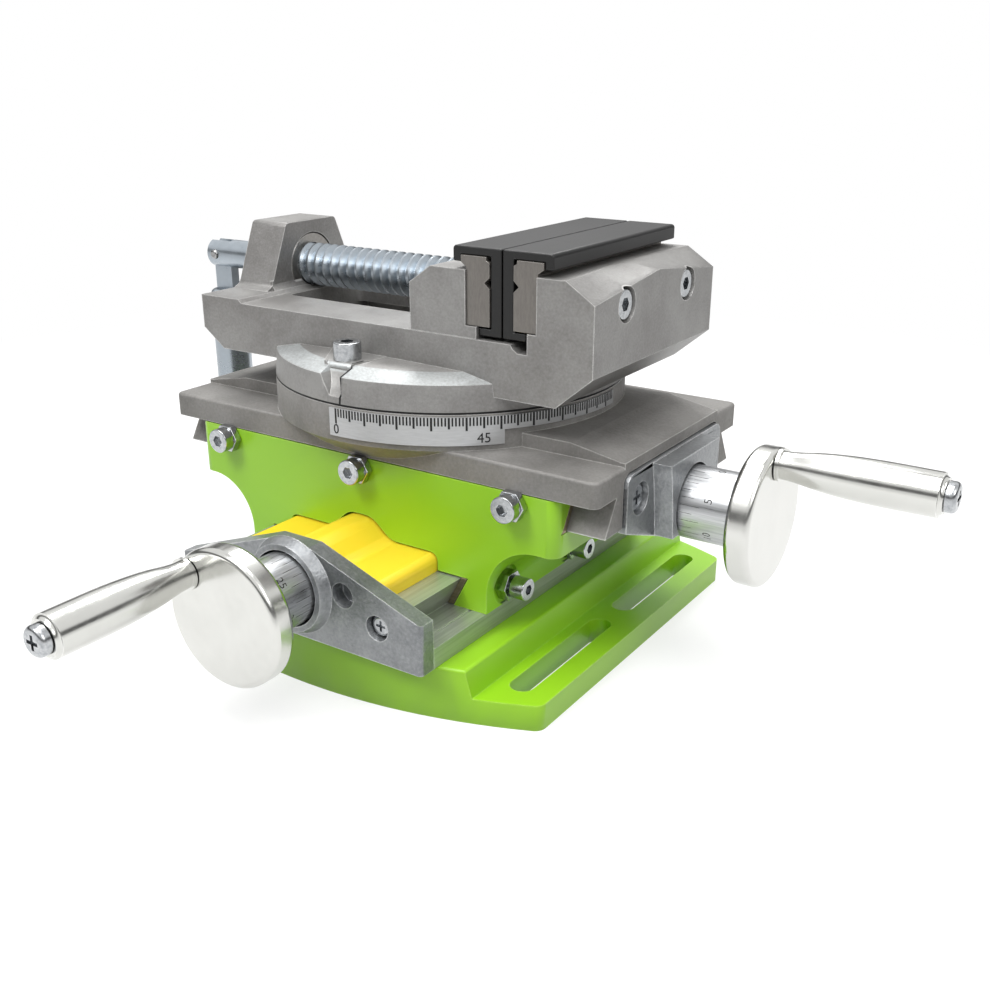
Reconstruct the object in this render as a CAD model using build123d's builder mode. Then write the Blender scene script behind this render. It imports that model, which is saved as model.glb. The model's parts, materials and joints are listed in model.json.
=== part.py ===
from build123d import *
import os
from math import atan2, cos, degrees, radians, sin

# A small cross slide vise, in millimetres. The base stands on z = 0 with its centre at x = y = 0.
# +Y is the travel of the saddle, +X the travel of the table, and the lower crank points to -Y.

# Clearances
slide_gap = 0.05
running_gap = 0.05
seat_gap = 0.1
free_gap = 0.4
overcut = 1.0
screw_end_gap = 1.0

# Base casting
base_width = 125.0
base_depth = 129.0
base_side_depth = 101.6
flange_thick = 6.7
base_height = 13.8
block_foot_width = 97.0
block_top_width = 91.0
mount_slot_width = 6.2
mount_slot_length = 44.2
mount_slot_pitch_x = 106.8
mount_slot_pitch_y = 51.5
base_corner_r = 3.0
base_top_round = 0.8

# Lower rail
rail_length = 121.2
rail_plate_width = 78.0
rail_plate_thick = 5.3
rail_root_width = 54.6
rail_top_width = 63.0
rail_tail_height = 7.9
rail_channel_width = 26.0
rail_line_x = 34.5
rail_line_width = 0.8
rail_line_depth = 0.3
rail_hole_skin = 1.5

# Screw cover
cover_width = 48.4
cover_wing_thick = 4.6
cover_foot_width = 18.8
cover_peak_width = 6.8
cover_peak_height = 5.2
cover_cavity_width = 25.0
cover_roof = 1.6
cover_side_wall = 2.2
cover_peak_wall = 1.0
cover_top_wall = 1.9
cover_corner_r = 2.2
cover_foot_r = 5.0
cover_peak_r = 6.0
cover_slot_side_gap = 0.5
cover_slot_end_gap = 0.7
saddle_travel = 16.0

# Lead screws, dials, wheels and cranks, alike on both axes
lead_screw_r = 4.0
journal_r = 3.0
collar_r = 6.0
collar_thick = 3.0
collar_chamfer = 0.4
shaft_chamfer = 0.6
dial_r = 9.3
dial_length = 19.9
dial_chamfer = 0.5
dial_bore_gap = 0.6
wheel_r = 17.2
wheel_thick = 6.1
wheel_round = 1.4
wheel_skin = 1.6
crank_r = 13.8
grip_length = 38.0
grip_neck_r = 3.4
grip_neck_length = 1.0
grip_flange_stand = 0.6
grip_swell_r = 5.0
grip_swell_at = 16.4
grip_end_r = 5.2
grip_end_round = 1.0
grip_gap = 0.25
grip_screw_r = 2.0
grip_screw_head_r = 3.6
grip_screw_head_thick = 2.3
grip_screw_round = 1.2
grub_r = 1.5
grub_sink = 1.0
grub_drive_r = 0.8
grub_drive_depth = 1.5
grub_from_wheel = 4.5
lower_crank_angle = 138.0
upper_crank_angle = 91.0

# Lower bracket and its spindle
lower_axis_rise = 0.3
lower_bracket_thick = 4.8
lower_bracket_side = 12.9
lower_bracket_peak_width = 12.0
lower_bracket_height = 24.6
lower_ring_wall = 1.5
lower_ring_rise = 2.9
lower_ring_foot = 1.3
lower_web = 2.0
lower_screw_end_y = 26.0
bracket_end_round = 1.2
bracket_plug_r = 3.2
bracket_plug_depth = 3.8
bracket_plug_x = 16.0
bracket_plug_rise = 14.7

# Saddle
saddle_depth = 78.6
saddle_width = 116.0
saddle_shift = 0.8
saddle_waist_width = 78.6
saddle_leg_height = 19.15
saddle_arm_thick = 14.4
saddle_arc_r = 14.0
saddle_corner_r = 3.0
saddle_groove_width = 9.0
saddle_groove_floor = 39.7
gib_thick = 1.8
gib_back_gap = 0.25
gib_end_gap = 0.15
side_pocket_r = 5.2
side_pocket_depth = 0.9
collar_pocket_gap = 0.6
collar_pocket_depth = 4.0

# Cross nut
nut_width = 12.6
nut_depth = 12.0
nut_foot_drop = 6.3
nut_flange_depth = 22.0
nut_flange_thick = 3.0
nut_boss_rise = 5.05
nut_screw_y = 8.4
nut_screw_depth = 5.0
nut_screw_end_gap = 0.4
nut_screw_head_r = 2.3
nut_screw_head = 2.0

# Table
table_x = 1.2
table_length = 135.4
table_depth = 78.6
table_thick = 6.3
table_gap = 0.3
table_corner_r = 2.0
table_edge_round = 0.8
tail_height = 8.7
tail_root_width = 59.6
tail_foot_width = 69.6
tail_relief = 0.4
table_channel_width = 25.0
table_channel_height = 6.2
band_width = 52.2
band_height = 3.45
band_end_height = 1.0
band_flat_half = 53.0
band_slope_end = 1.2
disc_r = 47.5
disc_thick = 9.0
disc_flare_foot_r = 39.3
disc_flare_drop = 5.7
clamp_circle_r = 38.4
clamp_angle = 264.0
ring_neck_width = 6.4
ring_width = 9.2
ring_neck_depth = 3.8
ring_depth = 7.8
ring_entry_angle = 90.0
ring_entry_gap = 0.6
scale_thick = 0.6
scale_start = -2.5
scale_step_at = 51.0
scale_end = 95.0
scale_drop = 0.5
scale_height = 7.0
scale_small_height = 3.4

# Upper bracket
flange_pocket = 3.0
flange_stand = 1.0
upper_flange_width = 52.6
upper_flange_top_drop = 2.0
upper_flange_side = 14.3
upper_flange_corner_r = 3.0
upper_flange_peak_width = 6.0
upper_flange_drop = 22.8
upper_flange_crown = 0.4
upper_bracket_sink = 3.0
upper_boss_width = 27.8
upper_boss_stand = 5.0
upper_boss_waist = 1.5
upper_boss_waist_rise = 5.0
upper_boss_taper = 2.8
upper_boss_drop = 6.5
upper_web = 3.8
upper_axis_rise = 0.25
upper_screw_end_x = -52.0
pocket_gap = 0.3

# Vise body
body_disc_height = 6.95
body_disc_top_r = 46.8
body_chamfer_height = 1.8
body_crown_r = 41.0
body_crown_height = 9.15
bed_left = -62.0
bed_right = 61.4
bed_depth = 63.0
bed_under_height = 3.75
bed_height = 17.05
bed_end_height = 9.0
bed_end_cut = 7.1
bed_pad_end = -48.0
bed_pad_rise = 1.0
bed_slot_width = 30.0
bed_slot_left = -45.0
bed_slot_right = 39.6
bed_slot_corner_r = 2.0
chamber_width = 38.0
chamber_floor = 6.2
chamber_roof = 10.7
access_r = 5.5
pivot_r = 6.0
pivot_rise = 4.5
pivot_sink = 7.0
index_boss_left = -8.0
index_boss_right = 0.4
index_boss_root_left = -15.5
index_boss_root_right = 3.0
index_scoop_foot_left = -2.4
index_scoop_foot_right = 1.5
index_boss_face = 42.4
index_boss_height = 9.2
index_scoop_low = 1.9
index_scoop_mid_y = 44.5
index_scoop_mid = 4.4
index_scoop_high = 7.4
index_boss_round = 1.4

# Fixed jaw, cast with the body
fixed_face_x = 46.5
fixed_foot_x = 44.1
fixed_step_height = 20.0
jaw_top_height = 33.05
fixed_back_foot = 11.75
fixed_back_run = 9.5
bevel_side_x = 54.0
bevel_side_drop = 4.8
bevel_mid_x = 51.5
bevel_mid_drop = 1.0
jaw_screw_y = 16.2
fixed_screw_drop = 6.9
moving_screw_drop = 9.6
relief_depth = 1.9
relief_lip = 0.8
relief_slope = 1.9
jaw_bore_gap = 0.7
jaw_head_sink = 0.5

# Nut block, cast with the body
block_left = -61.9
block_right = -49.1
block_top_height = 35.85
block_top_half = 10.1
block_mid_half = 14.0
block_mid_drop = 9.2
block_foot_half = 17.0
block_foot_spread = 2.5
block_foot_rise = 1.2
block_foot_r = 2.6
block_top_round = 1.6
block_side_round = 3.0
block_step_round = 0.9
bush_r = 8.9
bush_sink = 0.2
bush_edge = 0.4

# Movable jaw, its plate and its pad
jaw_back_x = 10.7
jaw_face_x = 27.0
jaw_toe_x = 30.1
jaw_bevel_height = 28.65
jaw_bevel_run = 6.2
tongue_gap = 0.05
tongue_roof_gap = 0.2
plate_thick = 6.5
plate_width = 62.0
plate_foot_gap = 0.1
plate_height = 14.9
plate_notch_rise = 0.5
plate_v_rise = 10.2
plate_v_half = 1.3
plate_v_depth = 1.4
plate_hook_x = 25.5
plate_hook_lip = 32.6
plate_hook_height = 1.6
plate_hook_rise = 1.65
plate_hook_neck = 0.55
plate_tap_skin = 1.5
plate_screw_gap = 0.5
jaw_meet_x = 36.75
pad_meet_gap = 0.15
pad_width = 61.4
pad_top_height = 38.35
pad_left_x = 23.1
pad_lip_drop = 3.7
pad_leg_x = 33.6
pad_foot_x = 30.2
pad_foot_rise = 0.8
pad_foot_thick = 1.9
pad_roof_gap = 0.05
pad_round = 0.9
keeper_length = 14.0
keeper_width = 34.8
keeper_thick = 3.6
keeper_sink = 2.2
keeper_hole_depth = 5.0
keeper_screw_end_gap = 0.4
keeper_head_gap = 0.1
jaw_pin_gap = 0.4

# Vise screw and its lever
vise_screw_r = 6.0
vise_axis_height = 23.45
tip_r = 5.0
tip_length = 13.0
tip_groove_r = 3.3
tip_pin_r = 1.5
tip_pin_from_face = 9.7
shank_r = 4.2
thread_end_x = -62.0
shank_end_x = -89.0
lever_x = -84.9
lever_pivot_x = -85.2
lever_tongue_width = 6.8
lever_tongue_thick = 3.0
lever_tongue_rise = 1.7
lever_neck_drop = 10.8
lever_grip_r = 5.45
lever_length = 40.8
lever_round = 1.6
lever_tongue_sink = 1.0
lever_pin_r = 1.4
lever_pin_stand = 0.7

# Fasteners
m3_r = 1.5
m3_head_r = 2.75
m3_head = 2.4
m4_r = 2.0
m4_head_r = 3.5
m4_head = 4.0
m5_r = 2.5
m5_head_r = 4.25
m5_head = 4.4
m3_pan_head_r = 2.8
m4_pan_head_r = 3.7
pan_head = 1.9
pan_head_round = 0.9
pan_bore_gap = 0.4
nut_m4_flat = 7.0
nut_thin = 2.2
nut_m4_thick = 3.2
bore_gap = 0.4
rail_screw_x = 20.0
rail_screw_y = 42.0
rail_screw_seat = 8.0
cover_screw_x = 18.5
cover_screw_y = 52.0
lower_bracket_screw_x = 26.2
lower_bracket_screw_rise = 9.0
lower_bracket_sink = 3.3
upper_bracket_screw_y = 19.5
upper_bracket_screw_drop = 3.0
bracket_screw_length = 14.0
gib_screw_pitch = 46.2
gib_screw_x = 0.9
gib_screw_drop = 2.7
gib_head_r = 3.3
gib_head = 2.8
side_screw_pitch = 30.8
side_screw_rise = 5.1
side_head_r = 2.9
side_head = 3.8
gib_nut_gap = 0.1
gib_head_gap = 0.1
side_head_gap = 0.6
clamp_head_r = 3.5
clamp_screw_end_gap = 0.4
clamp_nut_width = 8.0
clamp_nut_length = 10.0

# Levels
rail_z = base_height
rail_plate_z = rail_z + rail_plate_thick
rail_top_z = rail_plate_z + rail_tail_height
cover_wing_z = rail_top_z + cover_wing_thick
cover_peak_z = cover_wing_z + cover_peak_height
lower_z = rail_top_z + lower_axis_rise
saddle_z = rail_plate_z + slide_gap
arm_z = saddle_z + saddle_leg_height
saddle_top_z = arm_z + saddle_arm_thick
table_z = saddle_top_z + table_gap
tail_z = table_z - tail_height
saddle_floor_z = tail_z - tail_relief
upper_z = saddle_floor_z + upper_axis_rise
table_top_z = table_z + table_thick
disc_z = table_top_z + disc_thick
vise_z = disc_z + slide_gap
bed_z = vise_z + bed_height
vise_axis_z = vise_z + vise_axis_height
jaw_top_z = vise_z + jaw_top_height

# Lengths along the two slides
rail_front_y = -rail_length / 2
bracket_front_y = rail_front_y - lower_bracket_thick
lower_bore_y = rail_front_y - lower_web
lower_dial_y = lower_bore_y - seat_gap
lower_wheel_y = lower_dial_y - dial_length
lower_face_y = lower_wheel_y - wheel_thick
flange_x = table_x + table_length / 2 - flange_pocket
flange_face_x = flange_x + flange_pocket + flange_stand
upper_boss_x = flange_face_x + upper_boss_stand
upper_bore_x = flange_x + upper_web
upper_dial_x = upper_bore_x + seat_gap
upper_wheel_x = upper_dial_x + dial_length
upper_face_x = upper_wheel_x + wheel_thick
dial_bore_r = dial_r + dial_bore_gap
saddle_right_x = saddle_shift + saddle_width / 2
waist_x = saddle_waist_width / 2
tail_slope = (tail_foot_width - tail_root_width) / 2 / tail_height
rail_slope = (rail_top_width - rail_root_width) / 2 / rail_tail_height


def front(distance):
    # a plane square to Y, facing -Y, with X across and Z up
    return Plane.XZ.offset(distance)


def side(distance):
    # a plane square to X, facing +X, with Y across and Z up
    return Plane.YZ.offset(distance)


def far_side(distance):
    # a plane square to X that faces -X, with Z up
    return Plane((distance, 0, 0), x_dir=(0, -1, 0), z_dir=(-1, 0, 0))


def at_table(x):
    # a length along X that is given from the centre of the table
    return table_x + x


def mirrored(points):
    # closes a half outline with its mirror image about the vertical axis
    return points + [(-a, b) for a, b in reversed(points)]


def add_outline(points):
    Polygon(*points)


def spot_plane(plane, spot):
    # the plane moved to a spot that is given in its own coordinates
    return Plane(plane.from_local_coords((spot[0], spot[1], 0)), x_dir=plane.x_dir, z_dir=plane.z_dir)


def add_drive(kind, spots, size):
    with Locations(*spots):
        if kind == "hex":
            RegularPolygon(size, 6)
        else:
            Rectangle(2 * size, 0.5 * size)
            Rectangle(0.5 * size, 2 * size)


def make_screws(seat, spots, shank, length, head_r, head, drive="hex", round_head=0.3):
    # screws on one seat plane, heads towards the plane's normal
    with BuildPart() as screws:
        with BuildSketch(seat):
            with Locations(*spots):
                Circle(head_r)
        extrude(amount=head)
        rims = screws.edges().filter_by(GeomType.CIRCLE).filter_by(
            lambda e: abs(seat.to_local_coords(e.center()).Z - head) < head / 4)
        fillet(rims, round_head)
        with BuildSketch(seat):
            with Locations(*spots):
                Circle(shank)
        extrude(amount=-length)
        with BuildSketch(seat.offset(head)):
            add_drive(drive, spots, head_r * 0.5)
        extrude(amount=-head * 0.5, mode=Mode.SUBTRACT)
    return screws


def cut_holes(plane, spots, radius, depth):
    # round holes that start on the plane and run back from it
    with Locations(*[spot_plane(plane, spot) for spot in spots]):
        Cylinder(radius, depth, align=(Align.CENTER, Align.CENTER, Align.MAX), mode=Mode.SUBTRACT)


def make_hex_nuts(seat, spots, flat, thick, hole_r):
    with BuildPart() as nuts:
        with BuildSketch(seat):
            with Locations(*spots):
                RegularPolygon(flat / 2, 6, major_radius=False)
                Circle(hole_r, mode=Mode.SUBTRACT)
        extrude(amount=thick)
    return nuts


# Base: a flange with curved ends, a raised block and four open slots
slot_spots = [
    (sx * mount_slot_pitch_x / 2, sy * mount_slot_pitch_y / 2) for sx in (-1, 1) for sy in (-1, 1)
]
rail_screw_spots = [(sx * rail_screw_x, sy * rail_screw_y) for sx in (-1, 1) for sy in (-1, 1)]


with BuildSketch(Plane.XY) as base_outline:
    half_x = base_width / 2
    half_y = base_depth / 2
    side_y = base_side_depth / 2
    with BuildLine():
        Line((-half_x, side_y), (-half_x, -side_y))
        ThreePointArc((-half_x, -side_y), (0, -half_y), (half_x, -side_y))
        Line((half_x, -side_y), (half_x, side_y))
        ThreePointArc((half_x, side_y), (0, half_y), (-half_x, side_y))
    make_face()
    fillet(base_outline.vertices(), base_corner_r)


with BuildPart() as base:
    with BuildSketch(Plane.XZ):
        add_outline(mirrored([(block_foot_width / 2, 0), (block_top_width / 2, base_height)]))
    extrude(amount=base_depth, both=True)
    with BuildSketch(Plane.XY):
        add(base_outline.sketch)
    extrude(amount=base_height, mode=Mode.INTERSECT)
    with BuildSketch(Plane.XY):
        add(base_outline.sketch)
    extrude(amount=flange_thick)
    with BuildSketch(Plane.XY):
        with Locations(*slot_spots):
            SlotOverall(mount_slot_length, mount_slot_width, rotation=90)
    extrude(amount=flange_thick, mode=Mode.SUBTRACT)
    base_rims = base.edges().group_by(Axis.Z)[-1]
    fillet(base_rims, base_top_round)
    cut_holes(Plane.XY.offset(base_height), rail_screw_spots, m5_r + bore_gap, base_height)
    cut_holes(Plane.XY.offset(rail_screw_seat), rail_screw_spots, m5_head_r + bore_gap, rail_screw_seat)

rail_screws = make_screws(
    Plane.XY.offset(rail_screw_seat).rotated((180, 0, 0)),
    [(x, -y) for x, y in rail_screw_spots],
    m5_r, rail_top_z - rail_hole_skin - screw_end_gap - rail_screw_seat, m5_head_r, m5_head)

# Lower rail: a plate with a dovetail that is wider at its top, and an open channel for the screw
cover_screw_spots = [(sx * cover_screw_x, sy * cover_screw_y) for sx in (-1, 1) for sy in (-1, 1)]
lower_bracket_spots = [
    (sx * lower_bracket_screw_x, rail_z + lower_bracket_screw_rise) for sx in (-1, 1)
]

with BuildPart() as lower_rail:
    with BuildSketch(Plane.XZ):
        add_outline(mirrored([
            (rail_plate_width / 2, rail_z),
            (rail_plate_width / 2, rail_plate_z),
            (rail_root_width / 2, rail_plate_z),
            (rail_top_width / 2, rail_top_z),
            (rail_channel_width / 2, rail_top_z),
            (rail_channel_width / 2, rail_plate_z),
        ]))
        with Locations(*[(s * rail_line_x, rail_plate_z) for s in (-1, 1)]):
            Rectangle(rail_line_width, 2 * rail_line_depth, mode=Mode.SUBTRACT)
    extrude(amount=rail_length / 2, both=True)
    cut_holes(Plane.XY.offset(rail_top_z - rail_hole_skin), rail_screw_spots, m5_r + running_gap,
              rail_top_z - rail_z)
    cut_holes(Plane.XY.offset(rail_top_z), cover_screw_spots, m3_r + bore_gap, rail_top_z - rail_z)
    cut_holes(Plane.XY.offset(rail_z + m3_head + seat_gap), cover_screw_spots,
              m3_head_r + bore_gap, m3_head + seat_gap)
    cut_holes(front(rail_length / 2), lower_bracket_spots, m3_r + running_gap, bracket_screw_length)

# Screw cover: flat wings and a hump that is hollow over the screw, with a slot for the nut
cover_slot_half = nut_width / 2 + cover_slot_side_gap
hump_radii = [cover_foot_r, cover_peak_r, cover_peak_r, cover_foot_r]

with BuildPart() as screw_cover:
    with BuildSketch(Plane.XZ):
        with BuildLine():
            FilletPolyline(
                (cover_width / 2, rail_top_z), (cover_width / 2, cover_wing_z),
                (cover_foot_width / 2, cover_wing_z), (cover_peak_width / 2, cover_peak_z),
                (-cover_peak_width / 2, cover_peak_z), (-cover_foot_width / 2, cover_wing_z),
                (-cover_width / 2, cover_wing_z), (-cover_width / 2, rail_top_z),
                radius=[cover_corner_r] + hump_radii + [cover_corner_r])
            Line((-cover_width / 2, rail_top_z), (cover_width / 2, rail_top_z))
        make_face()
        with BuildLine():
            Polyline(*mirrored([
                (cover_cavity_width / 2, rail_top_z),
                (cover_cavity_width / 2, cover_wing_z - cover_roof),
                (cover_foot_width / 2 - cover_side_wall, cover_wing_z - cover_roof),
                (cover_peak_width / 2 - cover_peak_wall, cover_peak_z - cover_top_wall),
            ]), close=True)
        make_face(mode=Mode.SUBTRACT)
    extrude(amount=rail_length / 2, both=True)
    with BuildSketch(Plane.XY.offset(cover_wing_z - cover_roof)):
        Rectangle(2 * cover_slot_half, nut_depth + 2 * saddle_travel + 2 * cover_slot_end_gap)
    extrude(amount=cover_peak_z - rail_top_z, mode=Mode.SUBTRACT)
    cut_holes(Plane.XY.offset(cover_wing_z - cover_roof), cover_screw_spots, m3_r + running_gap,
              cover_wing_thick)

cover_screws = make_screws(
    Plane.XY.offset(rail_z + m3_head + seat_gap).rotated((180, 0, 0)),
    [(x, -y) for x, y in cover_screw_spots],
    m3_r, rail_top_z - rail_z, m3_head_r, m3_head)

# Lower bracket: a plate across the rail's end, with a bored ring for the dial
bracket_half = rail_plate_width / 2
bracket_side_z = rail_z + lower_bracket_side
bracket_top_z = rail_z + lower_bracket_height
bracket_peak = lower_bracket_peak_width / 2
lower_ring_r = dial_bore_r + lower_ring_wall
bracket_outline = mirrored([
    (bracket_half, rail_z), (bracket_half, bracket_side_z), (bracket_peak, bracket_top_z),
])
ring_foot_angle = degrees(atan2(lower_ring_foot, lower_ring_rise))

with BuildPart() as lower_bracket:
    with BuildSketch(front(rail_length / 2)):
        add_outline(bracket_outline)
    extrude(amount=lower_bracket_thick)
    end_edges = lower_bracket.edges().filter_by(Axis.Z).group_by(Axis.Y)[0]
    fillet(end_edges, bracket_end_round)
    with BuildSketch(front(-bracket_front_y)):
        with Locations((0, lower_z)):
            Circle(lower_ring_r + lower_ring_foot)
    extrude(amount=lower_ring_rise, taper=ring_foot_angle)
    with BuildSketch(front(-bracket_front_y)):
        with Locations((0, lower_z)):
            Circle(lower_ring_r)
    extrude(amount=lower_ring_rise)
    with BuildSketch(Plane.XY):
        with Locations((0, bracket_front_y - lower_ring_rise / 2)):
            Rectangle(2 * rail_plate_width, 2 * lower_ring_rise)
    extrude(amount=rail_z, mode=Mode.SUBTRACT)
    cut_holes(front(-bracket_front_y + lower_ring_rise), [(0, lower_z)], dial_bore_r,
              lower_bore_y - bracket_front_y + lower_ring_rise)
    cut_holes(front(-bracket_front_y), [(0, lower_z)], journal_r + running_gap, lower_bracket_thick)
    cut_holes(front(-bracket_front_y), lower_bracket_spots, m3_r + bore_gap / 2, lower_bracket_thick)
    cut_holes(front(-bracket_front_y), lower_bracket_spots, m3_pan_head_r + pan_bore_gap, lower_bracket_sink)
    cut_holes(front(-bracket_front_y),
              [(s * bracket_plug_x, rail_z + bracket_plug_rise) for s in (-1, 1)],
              bracket_plug_r, bracket_plug_depth)

lower_bracket_screws = make_screws(
    front(-bracket_front_y - lower_bracket_sink), lower_bracket_spots,
    m3_r, bracket_screw_length, m3_pan_head_r, pan_head, drive="cross", round_head=pan_head_round)


# Spindles: each is built along a plane whose normal runs from the nut out to the crank
def make_lead_screw(foot, thread_length, shaft_length):
    # thread up to the collar's shoulder, then a plain shaft
    with BuildPart() as screw:
        with BuildSketch(foot):
            Circle(lead_screw_r)
        extrude(amount=thread_length)
        ends = screw.edges().filter_by(GeomType.CIRCLE)
        chamfer(ends, shaft_chamfer)
        with BuildSketch(foot.offset(thread_length)):
            Circle(journal_r)
        extrude(amount=shaft_length)
    return screw


def make_sleeve(seat, radius, bore, length, edge):
    with BuildPart() as sleeve:
        with BuildSketch(seat):
            Circle(radius)
        extrude(amount=length)
        chamfer(sleeve.edges().filter_by(GeomType.CIRCLE), edge)
        with BuildSketch(seat):
            Circle(bore)
        extrude(amount=length, mode=Mode.SUBTRACT)
    return sleeve


def make_wheel(seat, angle):
    # a plain disc, closed in front, with a blind bore for the shaft and one for the crank's screw
    crank_spot = (crank_r * cos(radians(angle)), crank_r * sin(radians(angle)))
    with BuildPart() as wheel:
        with BuildSketch(seat):
            Circle(wheel_r)
        extrude(amount=wheel_thick)
        fillet(wheel.edges().filter_by(GeomType.CIRCLE), wheel_round)
        with BuildSketch(seat):
            Circle(journal_r + running_gap)
        extrude(amount=wheel_thick - wheel_skin, mode=Mode.SUBTRACT)
        cut_holes(seat.offset(wheel_thick), [crank_spot], grip_screw_r + running_gap,
                  wheel_thick - wheel_skin)
    return wheel


def make_grip(face):
    # a turned grip, thin at the wheel, swelling to a long straight end
    grip_flange_r = grip_neck_r + grip_flange_stand
    with BuildPart() as grip:
        with BuildSketch(Plane(face.origin, x_dir=face.x_dir, z_dir=face.y_dir)):
            with BuildLine():
                Polyline(
                    (grip_screw_r + seat_gap, -grip_gap), (grip_flange_r, -grip_gap),
                    (grip_flange_r, -grip_neck_length), (grip_neck_r, -grip_neck_length))
                Spline(
                    (grip_neck_r, -grip_neck_length),
                    ((grip_neck_r + grip_swell_r) / 2, -grip_swell_at / 2),
                    (grip_swell_r, -grip_swell_at),
                    (grip_end_r, -grip_length + grip_end_round),
                    tangents=[(0, -1), (0, -1)])
                RadiusArc(
                    (grip_end_r, -grip_length + grip_end_round),
                    (grip_end_r - grip_end_round, -grip_length), -grip_end_round)
                Line((grip_end_r - grip_end_round, -grip_length), (grip_screw_r + seat_gap, -grip_length))
                Line((grip_screw_r + seat_gap, -grip_length), (grip_screw_r + seat_gap, -grip_gap))
            make_face()
        revolve(axis=Axis(face.origin, face.z_dir))
    return grip


lower_foot = Plane((0, lower_screw_end_y, lower_z), x_dir=(1, 0, 0), z_dir=(0, -1, 0))
lower_collar_y = rail_front_y + seat_gap
lower_shoulder_y = lower_collar_y + collar_thick
lower_lead_screw = make_lead_screw(
    lower_foot, lower_screw_end_y - lower_shoulder_y,
    lower_shoulder_y - lower_face_y - wheel_skin - seat_gap)
lower_thrust_collar = make_sleeve(
    lower_foot.offset(lower_screw_end_y - lower_shoulder_y), collar_r, journal_r + running_gap,
    collar_thick, collar_chamfer)
lower_dial_seat = lower_foot.offset(lower_screw_end_y - lower_dial_y)
lower_wheel_seat = lower_dial_seat.offset(dial_length)
lower_face = lower_wheel_seat.offset(wheel_thick)
lower_handwheel = make_wheel(lower_wheel_seat, lower_crank_angle)

upper_foot = Plane((at_table(upper_screw_end_x), 0, upper_z), x_dir=(0, 1, 0), z_dir=(1, 0, 0))
upper_collar_x = flange_x - seat_gap
upper_shoulder_x = upper_collar_x - collar_thick
upper_thread = upper_shoulder_x - at_table(upper_screw_end_x)
upper_lead_screw = make_lead_screw(
    upper_foot, upper_thread, upper_face_x - wheel_skin - seat_gap - upper_shoulder_x)
upper_thrust_collar = make_sleeve(
    upper_foot.offset(upper_thread), collar_r, journal_r + running_gap, collar_thick, collar_chamfer)
upper_dial_seat = upper_foot.offset(upper_dial_x - at_table(upper_screw_end_x))
upper_wheel_seat = upper_dial_seat.offset(dial_length)
upper_face = upper_wheel_seat.offset(wheel_thick)
upper_handwheel = make_wheel(upper_wheel_seat, upper_crank_angle)


def make_dial(seat, grub_plane):
    # a graduated sleeve with one radial hole for the grub screw that holds it on the shaft
    with BuildPart() as dial:
        with BuildSketch(seat):
            Circle(dial_r)
        extrude(amount=dial_length)
        chamfer(dial.edges().filter_by(GeomType.CIRCLE), dial_chamfer)
        with BuildSketch(seat):
            Circle(journal_r + running_gap)
        extrude(amount=dial_length, mode=Mode.SUBTRACT)
        cut_holes(grub_plane.offset(dial_r), [(0, 0)], grub_r + running_gap, dial_r - journal_r)
    return dial


def make_grub(grub_plane):
    with BuildPart() as grub:
        with BuildSketch(grub_plane.offset(journal_r + seat_gap / 2)):
            Circle(grub_r)
        extrude(amount=dial_r - journal_r - grub_sink)
        with BuildSketch(grub_plane.offset(dial_r - grub_sink + seat_gap / 2)):
            RegularPolygon(grub_drive_r, 6)
        extrude(amount=-grub_drive_depth, mode=Mode.SUBTRACT)
    return grub


lower_grub_plane = Plane((0, lower_wheel_y + grub_from_wheel, lower_z), x_dir=(0, 1, 0), z_dir=(0, 0, -1))
upper_grub_plane = Plane((upper_wheel_x - grub_from_wheel, 0, upper_z), x_dir=(1, 0, 0), z_dir=(0, 0, -1))
lower_dial = make_dial(lower_dial_seat, lower_grub_plane)
lower_grub_screw = make_grub(lower_grub_plane)
upper_dial = make_dial(upper_dial_seat, upper_grub_plane)
upper_grub_screw = make_grub(upper_grub_plane)


def crank_axis(face, angle):
    # the plane on the wheel's face, centred on the crank's axis
    offset_x = crank_r * cos(radians(angle))
    offset_y = crank_r * sin(radians(angle))
    return Plane(face.from_local_coords((offset_x, offset_y, 0)), x_dir=face.x_dir, z_dir=face.z_dir)


def make_grip_screw(face):
    seat = face.offset(grip_length + grip_gap)
    return make_screws(
        seat, [(0, 0)], grip_screw_r, grip_length + grip_gap + wheel_thick - wheel_skin - seat_gap,
        grip_screw_head_r, grip_screw_head_thick, drive="cross", round_head=grip_screw_round)


lower_crank = crank_axis(lower_face, lower_crank_angle)
upper_crank = crank_axis(upper_face, upper_crank_angle)
lower_crank_grip = make_grip(lower_crank)
lower_grip_screw = make_grip_screw(lower_crank)
upper_crank_grip = make_grip(upper_crank)
upper_grip_screw = make_grip_screw(upper_crank)


# Saddle: one casting with a dovetail slot along Y below and one along X above
def tail_half(z):
    # half width of the table's dovetail at a height
    return tail_root_width / 2 + (table_z - z) * tail_slope


def rail_half(z):
    # half width of the rail's dovetail at a height
    return rail_root_width / 2 + (z - rail_plate_z) * rail_slope


ceiling_z = rail_top_z + free_gap
below_z = saddle_z - overcut
above_z = saddle_top_z + overcut
gib_seat = slide_gap + gib_thick
wing_half = cover_width / 2 + free_gap
gib_screw_z = saddle_top_z - gib_screw_drop
side_screw_z = saddle_z + side_screw_rise
gib_screw_spots = [(gib_screw_x + i * gib_screw_pitch, gib_screw_z) for i in (-1, 0, 1)]
side_screw_spots = [(i * side_screw_pitch, side_screw_z) for i in (-1, 0, 1)]
front_face_y = -saddle_depth / 2
pocket_floor_x = waist_x - side_pocket_depth

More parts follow.
